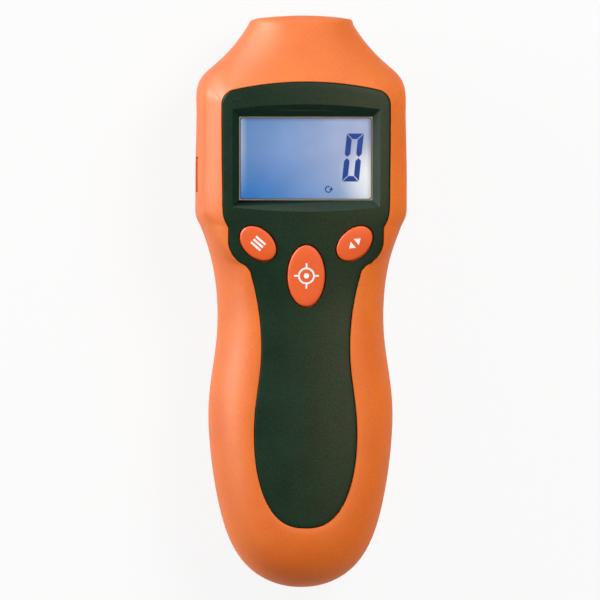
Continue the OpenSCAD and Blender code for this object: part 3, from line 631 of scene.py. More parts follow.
up = addNode(tree, "ShaderNodeMapRange",
             {"From Min": midY - halfY, "From Max": midY + halfY * cellLook["fullAt"]},
             {"Value": axes.outputs["Y"]})
low = addNode(tree, "ShaderNodeMix",
              {"data_type": "RGBA", 6: linear(cellLook["lowLeft"]), 7: linear(cellLook["lowRight"])},
              {0: along})
high = addNode(tree, "ShaderNodeMix",
               {"data_type": "RGBA", 6: linear(cellLook["highLeft"]), 7: linear(cellLook["highRight"])},
               {0: along})
blend = addNode(tree, "ShaderNodeMix", {"data_type": "RGBA"}, {0: up, 6: low.outputs[2], 7: high.outputs[2]})
away = addNode(tree, "ShaderNodeVectorMath",
               {"operation": "DISTANCE", 1: Vector(cellLook["lampAt"]) * mm}, {0: where})
# the pale spot at the lower right glows: painted light that keeps the cell's right side bright in the
# recess's shade
beside = addNode(tree, "ShaderNodeMapRange",
                 {"interpolation_type": "SMOOTHSTEP", "From Min": cellLook["lampReach"] * mm,
                  "From Max": cellLook["lampFull"] * mm}, {"Value": away.outputs["Value"]})
stripEnd = addNode(tree, "ShaderNodeMapRange",
                   {"From Min": cellLook["strip"] * mm - halfX, "From Max": -halfX,
                    "To Max": cellLook["stripGlow"]}, {"Value": axes.outputs["X"]})
strip = addNode(tree, "ShaderNodeMath", {"operation": "MULTIPLY"}, {0: stripEnd, 1: up})
glow = addNode(tree, "ShaderNodeMath", {"operation": "MAXIMUM"}, {0: beside, 1: strip})
blend = addNode(tree, "ShaderNodeMix", {"data_type": "RGBA", 7: linear(cellLook["lamp"])},
                {0: glow, 6: blend.outputs[2]})
cloud = addNode(tree, "ShaderNodeTexNoise", {"Scale": perSize(cellLook["cloud"]), "Detail": 3.0},
                {"Vector": where})
shade = addNode(tree, "ShaderNodeMapRange",
                {"From Min": noiseLow, "From Max": noiseHigh, "To Min": cellLook["cloudy"][0],
                 "To Max": cellLook["cloudy"][1]}, {"Value": cloud})
colour = addNode(tree, "ShaderNodeVectorMath", {"operation": "SCALE"}, {0: blend.outputs[2], "Scale": shade})
paint = addNode(tree, "ShaderNodeVectorMath", {"operation": "SCALE", "Scale": cellLook["paint"]}, {0: colour})
grain = addNode(tree, "ShaderNodeTexNoise", {"Scale": perSize(cellLook["grain"])}, {"Vector": where})
rough = addNode(tree, "ShaderNodeMapRange",
                {"To Min": cellLook["rough"][0], "To Max": cellLook["rough"][1]}, {"Value": grain})
feed(tree, shader, {"Base Color": paint, "Emission Color": colour, "Roughness": rough})

# switched-on crystal: deep blue with a little unevenness
inkedCrystal = moulded("inkedCrystal", {
    "dark": "#063C90", "light": "#0E489C", "mottle": 5, "grain": 0.4, "speck": 0.04, "lift": 0.02,
    "rough": (0.3, 0.4), "sockets": {"IOR": 1.5, "Specular IOR Level": 0.05}})
print("display finishes mixed")

# the shells' skins: steps out and in, rounded edge, drop below the panel's face, clearances and seam
shell = {
    "steps": 18, "inSteps": 6, "edgeRound": 0.22, "edgeShare": 0.3, "below": 0.1, "seat": 0.03, "clear": 0.02,
    "seam": 0.28, "seamIn": 0.3,
}

# the nose is rounded across, away from the panel: roundness, soft join, reach from the panel, where
# along the body, and how its rows are evened out
noseShape = {
    "power": 2.6, "join": 2.5, "clear": 1.0, "reach": 9.0, "from": 57.0, "full": 63.0,
    "evenOver": 6.0, "evenEdge": 0.9, "evenRim": 2.0, "evenTimes": 40,
}
noseFlare = [p for p in edgeLoop[:rowCount // 2]
             if p.y > noseShape["from"] - 2 and p.x > body["noseHalf"] - 0.2]


def noseWidth(y):
    for a, b in zip(noseFlare, noseFlare[1:]):
        if b.y <= y <= a.y:
            return mix(a.x, b.x, (a.y - y) / max(a.y - b.y, 0.001))
    return noseFlare[0].x if y > noseFlare[0].y else noseFlare[-1].x


def noseRidge(y):
    # height of the skin over the parting along the middle of the nose
    p, q, n = panelLoop[0], edgeLoop[0], shapeLoop[0][0]
    f = min(max((y - p.y) / (q.y - p.y), 0), 1)
    fall = body["noseFall"] * (q.y - p.y)
    return (faceZ(0, p.y) - shell["below"] - partingZ) * max(1 - f ** n, 0) ** (1 / n) * (1 - fall * f)


def roundedNose(a, away):
    # height of a skin point on the rounded nose, by its distance from the panel
    share = ease((away - noseShape["clear"]) / noseShape["reach"])
    share *= ease((a.y - noseShape["from"]) / (noseShape["full"] - noseShape["from"]))
    if share == 0:
        return a.z
    arch = body["noseArch"] * min(abs(a.x) / (body["noseHalf"] - body["noseRound"]), 1) ** 2
    across = min(abs(a.x) / noseWidth(a.y), 1) ** noseShape["power"]
    section = noseRidge(a.y + arch) * (1 - across) ** (1 / noseShape["power"])
    near = max(noseShape["join"] - abs(a.z - section), 0)
    return mix(a.z, min(a.z, section) - near * near / (4 * noseShape["join"]), share)


# beside the panel the head slopes evenly like a chamfer and then turns down: slope, turn and where
# along the body
headSlope = {"slope": 0.9, "bow": 1.3, "turn": 16.0, "from": 18.0, "full": 26.0, "fade": 55.0, "end": 62.0}


def slopedHead(a, start, q, height):
    share = ease((a.y - headSlope["from"]) / (headSlope["full"] - headSlope["from"]))
    share *= 1 - ease((a.y - headSlope["fade"]) / (headSlope["end"] - headSlope["fade"]))
    if share == 0:
        return a
    wide = (q - start).length
    f = (a.xy - start).length / wide
    drop = headSlope["slope"] * wide
    z = height - drop * f ** headSlope["bow"] - (height - drop) * f ** headSlope["turn"]
    return Vector((a.x, a.y, mix(a.z, z, share)))


def frontRings():
    lip, seam = shell["edgeRound"], shell["seam"]
    wallFoot, wallTop, shoulder, chamfer, ledgeTop = [], [], [], [], []
    skin = [[] for k in range(shell["steps"] + 1)]
    lining = [[] for k in range(shell["inSteps"] + 1)]
    for i in range(rowCount):
        p, o, q, r = panelLoop[i], panelOut[i], edgeLoop[i], rimLoop[i]
        n, fall = shapeLoop[i][0], max(shapeLoop[i][1], body["noseFall"] * (q.y - p.y))
        face = faceZ(p.x, p.y)
        top, low = face - shell["below"], face - panel["thick"] - shell["seat"]
        e, l = p + o * panel["gap"], p - o * panel["ledge"]
        wallFoot.append((e.x, e.y, low))
        wallTop.append((e.x, e.y, top - lip))
        s = e + o * lip * shell["edgeShare"]
        shoulder.append((s.x, s.y, top - lip * shell["edgeShare"]))
        start = e + o * lip
        for k in range(shell["steps"] + 1):
            a = arcPoint(start, q, top - partingZ, n, fall, k / shell["steps"])
            a = slopedHead(a, start, q, top - partingZ)
            skin[k].append((a.x, a.y, partingZ + max(roundedNose(a, (a.xy - p).length), seam)))
        c = q + (r - q).normalized() * shell["seamIn"]
        chamfer.append((c.x, c.y, partingZ + shell["clear"]))
        for k in range(shell["inSteps"] + 1):
            a = arcPoint(l, r, low - panel["thick"] - partingZ, n, fall, 1 - k / shell["inSteps"])
            lining[k].append((a.x, a.y, partingZ + max(roundedNose(a, (a.xy - p).length), shell["clear"])))
        ledgeTop.append((l.x, l.y, low))
    return [wallFoot, wallTop, shoulder] + skin + [chamfer] + lining + [ledgeTop]


def padPoint(q):
    # plan point of the flat on the back that belongs to a parting point
    if q.y > 0:
        shift = -body["padNose"] * (q.y / body["noseY"]) ** 3
    else:
        shift = body["padButt"] * (q.y / body["buttY"]) ** 3
    return Vector((q.x * body["padWidth"], q.y + shift))


def bowlRings(depth, thick, steps, inSteps, seam):
    # the back's skin from a depth under it, its chamfer at the seam and its lining
    outer = mirrorLoop(smoothRows(edgeHalf(depth)))
    inner = mirrorLoop(smoothRows(edgeHalf(depth + thick)))
    skin = [[] for k in range(steps + 1)]
    chamfer = []
    lining = [[] for k in range(inSteps + 1)]
    for i in range(rowCount):
        p, n, fall = padPoint(edgeLoop[i]), shapeLoop[i][2], shapeLoop[i][3]
        for k in range(steps + 1):
            a = arcPoint(p, outer[i], partingZ - depth, n, fall, k / steps)
            skin[k].append((a.x, a.y, partingZ - max(a.z, seam)))
        c = outer[i] + (inner[i] - outer[i]).normalized() * (seam + shell["clear"])
        chamfer.append((c.x, c.y, partingZ - shell["clear"]))
        for k in range(inSteps + 1):
            a = arcPoint(p, inner[i], partingZ - depth - thick, n, fall, 1 - k / inSteps)
            lining[k].append((a.x, a.y, partingZ - max(a.z, shell["clear"])))
    return skin + [chamfer] + lining


nose = {"halfX": 10.8, "halfZ": 5.9, "back": 75.2, "mid": 76.6, "front": 79.1, "play": 0.2, "flange": 0.7,
        "edge": 0.35, "past": 81.0, "reach": 0.5, "eyePlay": 0.02, "eyeOver": 0.3}
port = {"y": 35.6, "half": 4.8, "halfZ": 3.4, "play": 0.1, "inset": 0.45, "edge": 0.45, "flange": 1.0,
        "neck": 0.6, "seat": 0.22, "back": 1.4, "flangeEdge": 0.3}
screws = {
    "places": [(17.5, 63.5, 10.5), (-17.5, 63.5, 10.5), (19.3, -28.0, 7.5), (-19.3, -28.0, 7.5)],
    "head": 2.6, "headHigh": 2.0, "shank": 1.4, "tip": 29.0, "well": 2.9, "pilot": 1.55, "post": 3.4,
    "slotLong": 1.5, "slotWide": 0.38,
}
bay = {
    "half": 14.6, "low": -61.5, "high": -3.3, "roof": 22.9, "wall": 1.6, "over": 1.4, "doorTop": -13.5,
    "lip": 7.0, "past": 4.0, "cornerRound": 1.4, "gap": 0.2, "fit": 0.02, "skirt": 0.4, "inset": 0.3,
    "thick": 1.9, "tongueZ": 1.1, "tongue": 0.9, "tongueLow": -49.9, "tongueTop": 1.6, "track": 1.2,
    "play": 0.2, "slotHalf": 6.0, "slotOut": 2.6, "slotUp": 2.0,
}
ribs = {"inset": 0.7, "thick": 0.5, "steps": 8, "over": 8.0, "low": 0.2}


def noseHole():
    return stadium("noseHole", nose["halfX"] + nose["play"], nose["halfZ"] + nose["play"],
                   nose["mid"] - nose["reach"], nose["past"])


def portHole(z0, z1):
    side, half = -body["headHalf"], port["half"] + port["play"]
    return block("portHole", (side - 1, port["y"] - half, z0),
                 (side + body["wall"] + 1, port["y"] + half, z1))


def softenNose(piece):
    # evens out the fan of rows between the panel corners and the nose, clear of both edges
    shape = openMesh(piece)
    for vert in shape.verts:
        at = vert.co / mm
        if at.y > noseShape["from"] and at.z > partingZ + noseShape["evenOver"]:
            vert.select = (min((at.xy - p).length for p in panelLoop) > noseShape["evenEdge"]
                           and min((at.xy - p).length for p in edgeLoop) > noseShape["evenRim"])
    bmesh.update_edit_mesh(piece.data)
    bpy.ops.mesh.vertices_smooth(factor=0.5, repeat=noseShape["evenTimes"])
    bpy.ops.object.mode_set(mode="OBJECT")


frontShell = loft("frontShell", frontRings(), closed=True)
softenNose(frontShell)
carve(frontShell, noseHole())
carve(frontShell, portHole(partingZ - 1, partingZ + port["halfZ"] + port["play"]))
dress(frontShell, orangeAbs, "housing", ["front_shell"])
print("front shell:", len(frontShell.data.polygons), "faces")

backShell = loft("backShell", bowlRings(0, body["wall"], shell["steps"], shell["inSteps"], shell["seam"]))
roomRings = bowlRings(ribs["inset"], ribs["thick"], ribs["steps"], 1, 0)[:ribs["steps"] + 1]
room = loft("room", roomRings + [[(p.x, p.y, partingZ + ribs["over"]) for p in rimLoop]])
boxHalf = bay["half"] + bay["wall"]
batteryBox = block("batteryBox", (-boxHalf, bay["low"] - bay["wall"], ribs["low"]),
                   (boxHalf, bay["high"] + bay["wall"], bay["roof"] + bay["over"]))
carve(batteryBox, block("hollow", (-bay["half"], bay["low"], -1), (bay["half"], bay["high"], bay["roof"])))
for x, y, seat in screws["places"]:
    post = [(screws["post"], ribs["low"]), (screws["post"], partingZ)]
    carve(batteryBox, turned("post", post, (x, y, 0), points=40), "UNION")
carve(batteryBox, room, "INTERSECT")
carve(backShell, batteryBox, "UNION")
opening = block("opening", (-bay["half"], body["buttY"] - bay["past"], -1),
                (bay["half"], bay["doorTop"], bay["lip"]))
roundAlong(opening, "Z", bay["cornerRound"], 6)
carve(backShell, opening)
trackHalf = bay["half"] + bay["track"]
trackLow, trackHigh = bay["tongueZ"] - bay["play"], bay["tongueZ"] + bay["tongue"] + bay["play"]
carve(backShell, block("track", (-trackHalf, body["buttY"] - 1, trackLow),
                       (trackHalf, bay["doorTop"] - bay["track"], trackHigh)))
slot = bay["slotHalf"]
carve(backShell, block("leadSlot", (-slot, bay["high"] - slot, bay["roof"] - slot),
                       (slot, bay["high"] + bay["slotOut"], bay["roof"] + bay["slotUp"])))
for x, y, seat in screws["places"]:
    well = [(screws["well"], -1), (screws["well"], seat), (screws["pilot"], seat),
            (screws["pilot"], partingZ + 1)]
    carve(backShell, turned("well", well, (x, y, 0), points=48))
carve(backShell, noseHole())
carve(backShell, portHole(partingZ - port["halfZ"] - port["play"], partingZ + 1))
dress(backShell, orangeAbs, "housing", ["back_shell"])
print("back shell:", len(backShell.data.polygons), "faces")


def doorLayer(name, depth, thick, gap, lip):
    # the back skin inside the door's opening, from a depth under it and clear of its edge by a gap
    layer = loft(name, bowlRings(depth, thick, 14, 5, 0))
    leaf = block("leaf", (-bay["half"] + gap, body["buttY"] - bay["past"], -1),
                 (bay["half"] - gap, bay["doorTop"] - gap, lip))
    roundAlong(leaf, "Z", bay["cornerRound"] - gap, 6)
    return carve(layer, leaf, "INTERSECT")


# battery door: set in a little, with thumb grooves, and a skirt that closes the gap round it under the skin
batteryDoor = doorLayer("batteryDoor", bay["inset"], bay["thick"], bay["gap"], bay["lip"] - bay["gap"])
skirt = doorLayer("skirt", bay["inset"] + bay["skirt"], bay["thick"] - 2 * bay["skirt"], bay["fit"],
                  bay["lip"] - 2 * bay["gap"])
carve(batteryDoor, skirt, "UNION")
for side in (-1, 1):
    a, b = sorted((side * (bay["half"] - bay["track"]), side * (bay["half"] + bay["tongue"])))
    tongue = block("tongue", (a, bay["tongueLow"], bay["tongueZ"]),
                   (b, bay["doorTop"] - bay["tongueTop"], bay["tongueZ"] + bay["tongue"]))
    carve(batteryDoor, tongue, "UNION")
grooves = {"count": 5, "first": 6.8, "pitch": 2.4, "wide": 1.2, "half": 7.0, "deep": 0.5}
for k in range(grooves["count"]):
    y = bay["doorTop"] - grooves["first"] - grooves["pitch"] * k
    groove = block("groove", (-grooves["half"], y - grooves["wide"], -1),
                   (grooves["half"], y, bay["inset"] + grooves["deep"]))
    roundAlong(groove, "Z", grooves["wide"] * 0.49, 5)         # all but half round at its ends
    carve(batteryDoor, groove)
dress(batteryDoor, orangeAbs, "door", ["battery_door"])
print("battery door:", len(batteryDoor.data.polygons), "faces")

# side port blank, a soft-edged push-in plug with its flange inside
side = -body["headHalf"]
plugFace = block("portPlug", (side + port["inset"], port["y"] - port["half"], partingZ - port["halfZ"]),
                 (side + body["wall"] + port["neck"], port["y"] + port["half"], partingZ + port["halfZ"]),
                 port["edge"], 4)
wide, high = port["half"] + port["flange"], port["halfZ"] + port["flange"]
flange = block("flange", (side + body["wall"] + port["seat"], port["y"] - wide, partingZ - high),
               (side + body["wall"] + port["back"], port["y"] + wide, partingZ + high), port["flangeEdge"], 2)
carve(plugFace, flange, "UNION")
dress(plugFace, orangeAbs, "housing", ["port_plug"])


def panelRings():
    # underside from its spine out to the edge, up the wall, over the rounded edge and back in to the spine
    r = panel["edgeRound"]
    overEdge = [(0.0, r), (r * 0.13, r * 0.5), (r * 0.5, r * 0.13), (r, 0.0)]
    steps = panel["across"]
    under = [[] for k in range(3)]
    lip = [[] for k in overEdge]
    over = [[] for k in range(steps)]
    for p, o in zip(panelLoop, panelOut):
        axis = Vector((0.0, min(max(p.y, panel["spineLow"]), panel["spineHigh"])))
        for k in range(3):
            s = mix(axis, p, k / 2) if k else axis
            under[k].append((s.x, s.y, faceZ(s.x, s.y) - panel["thick"]))
        for k, (inset, drop) in enumerate(overEdge):
            s = p - o * inset
            lip[k].append((s.x, s.y, faceZ(s.x, s.y) - drop))
        start = p - o * r
        for k in range(1, steps + 1):
            s = start.lerp(axis, k / steps)
            over[k - 1].append((s.x, s.y, faceZ(s.x, s.y)))
    return under + lip + over


facePanel = loft("facePanel", panelRings(), caps=False)
x, y, lip, midY = display["halfX"], display["halfY"], display["lip"], display["y"]
outX, outY = x + lip + display["collar"], y + lip + display["collar"]
collar = block("collar", (-outX, midY - outY, display["windowLow"]),
               (outX, midY + outY, faceZ(outX, midY) - display["collarDrop"]))
carve(facePanel, collar, "UNION", careful=True)

# four-sided funnel: window size at the bottom, opening at 45 degrees
recess = []
for out in (0, display["recess"]):
    z = display["windowTop"] + out
    recess.append([(-x - out, midY - y - out, z), (x + out, midY - y - out, z),
                   (x + out, midY + y + out, z), (-x - out, midY + y + out, z)])
carve(facePanel, loft("recess", recess), careful=True)
carve(facePanel, block("throat", (-x, midY - y, display["windowLow"] - 1),
                       (x, midY + y, display["windowTop"] + 0.5)), careful=True)
play = display["play"]
carve(facePanel, block("seat", (-x - lip - play, midY - y - lip - play, display["windowLow"] - 1),
                       (x + lip + play, midY + y + lip + play, display["windowTop"])), careful=True)


def ovalRing(key, inset, height):
    # ellipse of a key; a height below 5 is measured from the crowned face
    c, s = math.cos(math.radians(key["turn"])), math.sin(math.radians(key["turn"]))
    ring = []
    for k in range(keyShape["points"]):
        a = 2 * math.pi * k / keyShape["points"]
        u, v = (key["long"] - inset) * math.cos(a), (key["wide"] - inset) * math.sin(a)
        px, py = key["at"][0] + u * c - v * s, key["at"][1] + u * s + v * c
        ring.append((px, py, height if height > 5 else faceZ(px, py) + height))
    return ring


for name, key in keys.items():
    ends = (keyShape["holeLow"], keyShape["holeHigh"])
    hole = loft("keyHole", [ovalRing(key, -keyShape["gap"], z) for z in ends])
    carve(facePanel, hole, careful=True)
dress(facePanel, greenAbs, "housing", ["face_panel"], angle=24)
print("face panel:", len(facePanel.data.polygons), "faces")

displayWindow = block("displayWindow", (-x - lip, midY - y - lip, display["windowLow"]),
                      (x + lip, midY + y + lip, display["windowTop"]), display["windowRound"], 2)
dress(displayWindow, clearAcrylic, "housing", ["display_window"])

# the ring round the window that carries the painted highlight and, inside it, a thin black border, as inset
# and rise over the window
windowRim = {
    "corner": 0.65, "sharp": 0.03, "inside": 0.1, "points": 5,
    "rim": [(0.0, 0.005), (-0.04, 0.06), (0.03, 0.08), (0.17, 0.04), (0.17, 0.005)],
    "border": [(0.14, 0.004), (0.14, 0.02), (0.4, 0.02), (0.4, 0.004)],
}


def frameRing(inset, rise):
    # rectangle round the window, with its corners rounded once it is inside the opening
    x, y = display["halfX"] - inset, display["halfY"] - inset
    r = windowRim["corner"] if inset > windowRim["inside"] else windowRim["sharp"]
    ring = []
    for corner, (sideX, sideY) in enumerate(((1, 1), (-1, 1), (-1, -1), (1, -1))):
        for k in range(windowRim["points"] + 1):
            a = math.radians(90 * (corner + k / windowRim["points"]))
            ring.append((sideX * (x - r) + r * math.cos(a), display["y"] + sideY * (y - r) + r * math.sin(a),
                         display["windowTop"] + rise))
    return ring


# the ring's warm grey is a painted highlight of the window's edge, not a moulded part of its own
rim = loft("windowRim", [frameRing(inset, rise) for inset, rise in windowRim["rim"]], closed=True)
dress(rim, rimAbs, "housing")
border = loft("windowBorder", [frameRing(inset, rise) for inset, rise in windowRim["border"]], closed=True)
dress(border, blackNylon, "housing")
cellX, cellY = x + lip - display["cellIn"], y + lip + display["cellOut"]
cell = block("lcdGlass", (-cellX, midY - cellY, display["cellLow"]),
             (cellX, midY + cellY, display["cellTop"]), display["cellRound"], 2)
dress(cell, lcdCell, "housing", ["lcd_glass"])

# seven-segment nought, six lit segments that lean to the right, and a small turning mark beside its foot
digit = {"x": 10.9, "y": 33.5, "wide": 4.75, "high": 13.4, "stroke": 1.55, "gap": 0.16, "lean": 6.0,
         "thick": 0.05, "rise": 0.005}
turning = {"x": 6.4, "y": 31.3, "radius": 0.95, "stroke": 0.3, "from": 60, "to": 350, "head": 0.55}


def plate(name, points, heightOf, thick):
    # an outline laid on a surface, filled and extruded up
    clearSelection()
    bpy.ops.mesh.primitive_circle_add(vertices=len(points), radius=mm, fill_type="NGON")
    piece = named(name)
    for vert, p in zip(piece.data.vertices, points):
        vert.co = Vector((p[0], p[1], heightOf(p[0], p[1]))) * mm
    openMesh(piece, take="SELECT")
    bpy.ops.mesh.extrude_region_move(TRANSFORM_OT_translate={"value": (0, 0, thick * mm)})
    bpy.ops.mesh.select_all(action="SELECT")
    bpy.ops.mesh.normals_make_consistent(inside=False)
    bpy.ops.object.mode_set(mode="OBJECT")
    return piece


def segmentOutlines():
    w, h, t, g = digit["wide"], digit["high"], digit["stroke"], digit["gap"]
    mid = h / 2
    top = [(g, h), (w - g, h), (w - t - g, h - t), (t + g, h - t)]
    left = [(0, h - g), (t, h - t - g), (t, mid + t / 2 + g), (t / 2, mid + g), (0, mid + t / 2 + g)]
    out = []
    for shape in (top, left):
        for flipX in ((False,) if shape is top else (False, True)):
            for flipY in (False, True):
                out.append([(w - px if flipX else px, h - py if flipY else py) for px, py in shape])
    return out


def onCell(x, y):
    return display["cellTop"] + digit["rise"]


def arcBand(ring, start, stop, steps=24):
    # flat band along part of a circle
    out, back = [], []
    for k in range(steps + 1):
        a = math.radians(mix(start, stop, k / steps))
        for side, radius in ((out, ring["radius"]), (back, ring["radius"] - ring["stroke"])):
            side.append((ring["x"] + radius * math.cos(a), ring["y"] + radius * math.sin(a)))
    return out + back[::-1]


def arrowHead(ring):
    # triangle across the end of the band, pointing on along the circle
    a = math.radians(ring["to"])
    mid = ring["radius"] - ring["stroke"] / 2
    pts = []
    for radius, ahead in ((mid + ring["head"], 0), (mid, ring["head"] * 1.5), (mid - ring["head"], 0)):
        pts.append((ring["x"] + radius * math.cos(a) - ahead * math.sin(a),
                    ring["y"] + radius * math.sin(a) + ahead * math.cos(a)))
    return pts


lean = math.tan(math.radians(digit["lean"]))
segments = []
for outline in segmentOutlines():
    pts = [(digit["x"] + px + (py - digit["high"] / 2) * lean, digit["y"] + py) for px, py in outline]
    segments.append(plate("segment", pts, onCell, digit["thick"]))
segments.append(plate("turningArc", arcBand(turning, turning["from"], turning["to"]), onCell, digit["thick"]))
segments.append(plate("turningHead", arrowHead(turning), onCell, digit["thick"]))
lcdDigit = joined("lcdDigit", segments)
dress(lcdDigit, inkedCrystal, "housing")
print("display built")

# a key's rings, as inset and height: its flange over its underside, and its crown over the panel's face
keyFlange = [(-0.8, 0.0), (-0.8, 0.9), (0.0, 0.9)]
keyCrown = [(0.0, 0.1), (0.03, 0.3), (0.1, 0.45), (0.22, 0.55), (0.4, 0.62), (0.7, 0.68), (1.2, 0.74),
            (2.0, 0.8), (2.9, 0.84)]
for name, key in keys.items():
    under = faceZ(*key["at"]) - keyShape["deep"]
    rings = [ovalRing(key, inset, under + high) for inset, high in keyFlange]
    rings += [ovalRing(key, inset, high) for inset, high in keyCrown]
    centre, last = Vector(key["at"]), rings[-1]
    for k in (0.66, 0.33, 0.0):
        inner = [centre.lerp(Vector(p[:2]), k) for p in last]
        rings.append([(s.x, s.y, faceZ(s.x, s.y) + keyShape["top"]) for s in inner])
    dress(loft(name + "Key", rings), keyAbs, name + "_key", [name + "_button"])
print("keys built")

# plain printed marks: three bars, two opposed arrows and a sighting ring with a dot
marks = {
    "low": 0.77, "thick": 0.11, "barLong": 1.75, "barHigh": 0.3, "barPitch": 1.05,
    "arrowNear": 0.55, "arrowFar": 2.15, "arrowHigh": 1.15, "ring": 2.35, "stroke": 0.5, "dot": 0.75,
    "tickIn": 2.35, "tickOut": 3.5, "tickHigh": 0.24,
}


def onKey(x, y):
    return faceZ(x, y) + marks["low"]


def markOutlines(name):
    # outlines along and across the key
    if name == "mem":
        u, h, pitch = marks["barLong"], marks["barHigh"], marks["barPitch"]
        return [[(-u, v - h), (u, v - h), (u, v + h), (-u, v + h)] for v in (-pitch, 0, pitch)]
    if name == "mode":
        near, far, h = marks["arrowNear"], marks["arrowFar"], marks["arrowHigh"]
        return [[(side * near, -h), (side * far, 0), (side * near, h)] for side in (-1, 1)]
    ring = {"x": 0, "y": 0, "radius": marks["ring"], "stroke": marks["stroke"]}
    dot = {"x": 0, "y": 0, "radius": marks["dot"], "stroke": marks["dot"]}
    quarters = [arcBand(ring, 90 * k, 90 * k + 90, 12) for k in range(4)]
    dots = [arcBand(dot, 90 * k, 90 * k + 90, 8)[:10] for k in range(4)]    # an arc and the centre
    ticks = []
    for k in range(4):
        c, d = math.cos(math.pi / 2 * k), math.sin(math.pi / 2 * k)
        near, far, h = marks["tickIn"], marks["tickOut"], marks["tickHigh"]
        corners = ((near, -h), (far, -h), (far, h), (near, h))
        ticks.append([(u * c - v * d, u * d + v * c) for u, v in corners])
    return quarters + dots + ticks


for name, key in keys.items():
    c, d = math.cos(math.radians(key["turn"])), math.sin(math.radians(key["turn"]))
    prints = []
    for outline in markOutlines(name):
        pts = [(key["at"][0] + u * c - v * d, key["at"][1] + u * d + v * c) for u, v in outline]
        prints.append(plate("print", pts, onKey, marks["thick"]))
    dress(joined(name + "Mark", prints), whiteInk, name + "_key")
print("key marks printed")

# nose insert with an opening for the receiver's lens and one for the laser's window
receiver = {"x": 4.8, "radius": 5.0, "bevel": 0.25, "mouth": 0.6, "back": 0.6, "set": 0.3, "curve": 14.0}
laser = {"x": -6.5, "radius": 2.4, "bevel": 0.5, "mouth": 1.0, "back": 1.6, "set": 0.6, "edge": 0.1,
         "dome": 0.46}
tip = 0.02                                                 # radius at which a turned piece closes
front = nose["front"]
noseBezel = stadium("noseBezel", nose["halfX"], nose["halfZ"], nose["back"], front)
addBevel(noseBezel, nose["edge"], 3)
carve(noseBezel, stadium("flange", nose["halfX"] + nose["flange"], nose["halfZ"] + nose["flange"],
                         nose["back"], nose["mid"]), "UNION")
for eye in (receiver, laser):
    r = eye["radius"] + nose["eyePlay"]
    hole = [(r, nose["back"] - 1), (r, front - eye["bevel"]),
            (eye["radius"] + eye["mouth"], front + nose["eyeOver"])]
    carve(noseBezel, turned("eye", hole, (eye["x"], 0, partingZ), "Y"))
dress(noseBezel, blackNylon, "housing", ["nose_bezel"])

radius, curve, low = receiver["radius"], receiver["curve"], nose["back"] + receiver["back"]
profile = [(radius * 0.02, low), (radius, low)]
for k in range(11):
    r = radius * math.cos(math.radians(9 * k)) if k < 10 else tip
    profile.append((r, front - receiver["set"] - curve + math.sqrt(curve ** 2 - r * r)))
sensorLens = turned("sensorLens", profile, (receiver["x"], 0, partingZ), "Y")
dress(sensorLens, redAcrylic, "housing", ["sensor_lens"])
radius, edge, top = laser["radius"], laser["edge"], front - laser["set"]
profile = [(radius, front - laser["back"]), (radius, top), (radius - edge, top + edge),
           (tip, front - laser["dome"])]
laserWindow = turned("laserWindow", profile, (laser["x"], 0, partingZ), "Y", 48)
dress(laserWindow, redAcrylic, "housing", ["laser_window"])
print("nose optics built")

# screws with a domed head, a cross recess and a point
heads = []
for x, y, seat in screws["places"]:
    r, low, shank, end = screws["head"], seat - screws["headHigh"], screws["shank"], screws["tip"]
    profile = [(tip, low), (r * 0.72, low), (r * 0.9, low + 0.18), (r, low + 0.6), (r, seat), (shank, seat),
               (shank, end - 0.6), (shank * 0.5, end)]
    head = turned("caseScrew", profile, (x, y, 0), points=40)
    for a, b in ((screws["slotLong"], screws["slotWide"]), (screws["slotWide"], screws["slotLong"])):
        carve(head, block("slot", (x - a, y - b, low - 1), (x + a, y + b, low + 1)))
    heads.append(head)
caseScrews = joined("caseScrews", heads)
dress(caseScrews, zincSteel, "housing", ["case_screws"])

# battery with a shallow groove round it near each end
battery = {
    "halfX": 13.25, "y0": -60.9, "y1": -14.5, "z0": 4.9, "z1": 22.4, "round": 1.6, "edge": 0.12,
    "grooveLow": 1.1, "grooveHigh": 1.5, "grooveWide": 0.5, "grooveDeep": 0.25, "grooveRound": 1.4,
    "ringHalf": 20.0, "ringTop": 30.0,
}
half, z0, z1 = battery["halfX"], battery["z0"], battery["z1"]
batteryCan = block("batteryCan", (-half, battery["y0"], z0), (half, battery["y1"], z1))
roundAlong(batteryCan, "Y", battery["round"], 5)
deep, wide = battery["grooveDeep"], battery["grooveWide"]
for y in (battery["y0"] + battery["grooveLow"], battery["y1"] - battery["grooveHigh"]):
    ring = block("ring", (-battery["ringHalf"], y, 0), (battery["ringHalf"], y + wide, battery["ringTop"]))
    core = block("core", (-half + deep, y - 1, z0 + deep), (half - deep, y + 2, z1 - deep))
    roundAlong(core, "Y", battery["grooveRound"], 5)
    carve(ring, core)
    carve(batteryCan, ring)
addBevel(batteryCan, battery["edge"], 2, 50)
dress(batteryCan, lacqueredCan, "housing", ["battery_body"])
print("fasteners and battery built")

slotFinish = {
    "orange_shell": orangeAbs, "orange_key": keyAbs, "green_panel": greenAbs, "clear_window": clearAcrylic,
    "lcd": lcdCell, "white_plastic": whiteAbs, "light_guide": milkyAcrylic, "zebra": siliconeStrip,
    "board": boardMask, "black_plastic": blackNylon, "steel": zincSteel, "brass": turnedBrass,
    "red_lens": redAcrylic, "can": lacqueredCan, "red_wire": redPvc, "black_wire": blackPvc, "foam": greyFoam,
}
for row in frame["record"]["subparts"]:
    node = frame["nodes"][row["node"]]
    node.data.materials.clear()
    node.data.materials.append(slotFinish[row["material_slot"]])
print("solids dressed")


# white floor and world for the eye, for gloss and through glass, dimmer for the light they cast
stage = {"floor": 4.0, "under": 0.0002, "floorColour": "#DCDCDA", "white": 0.88, "ambient": 0.34}


def seenShare(tree):
    path = addNode(tree, "ShaderNodeLightPath")
    seen = addNode(tree, "ShaderNodeMath", {"operation": "MAXIMUM"},
                   {0: path.outputs["Is Camera Ray"], 1: path.outputs["Is Glossy Ray"]})
    return addNode(tree, "ShaderNodeMath", {"operation": "MAXIMUM"},
                   {0: seen, 1: path.outputs["Is Transmission Ray"]})


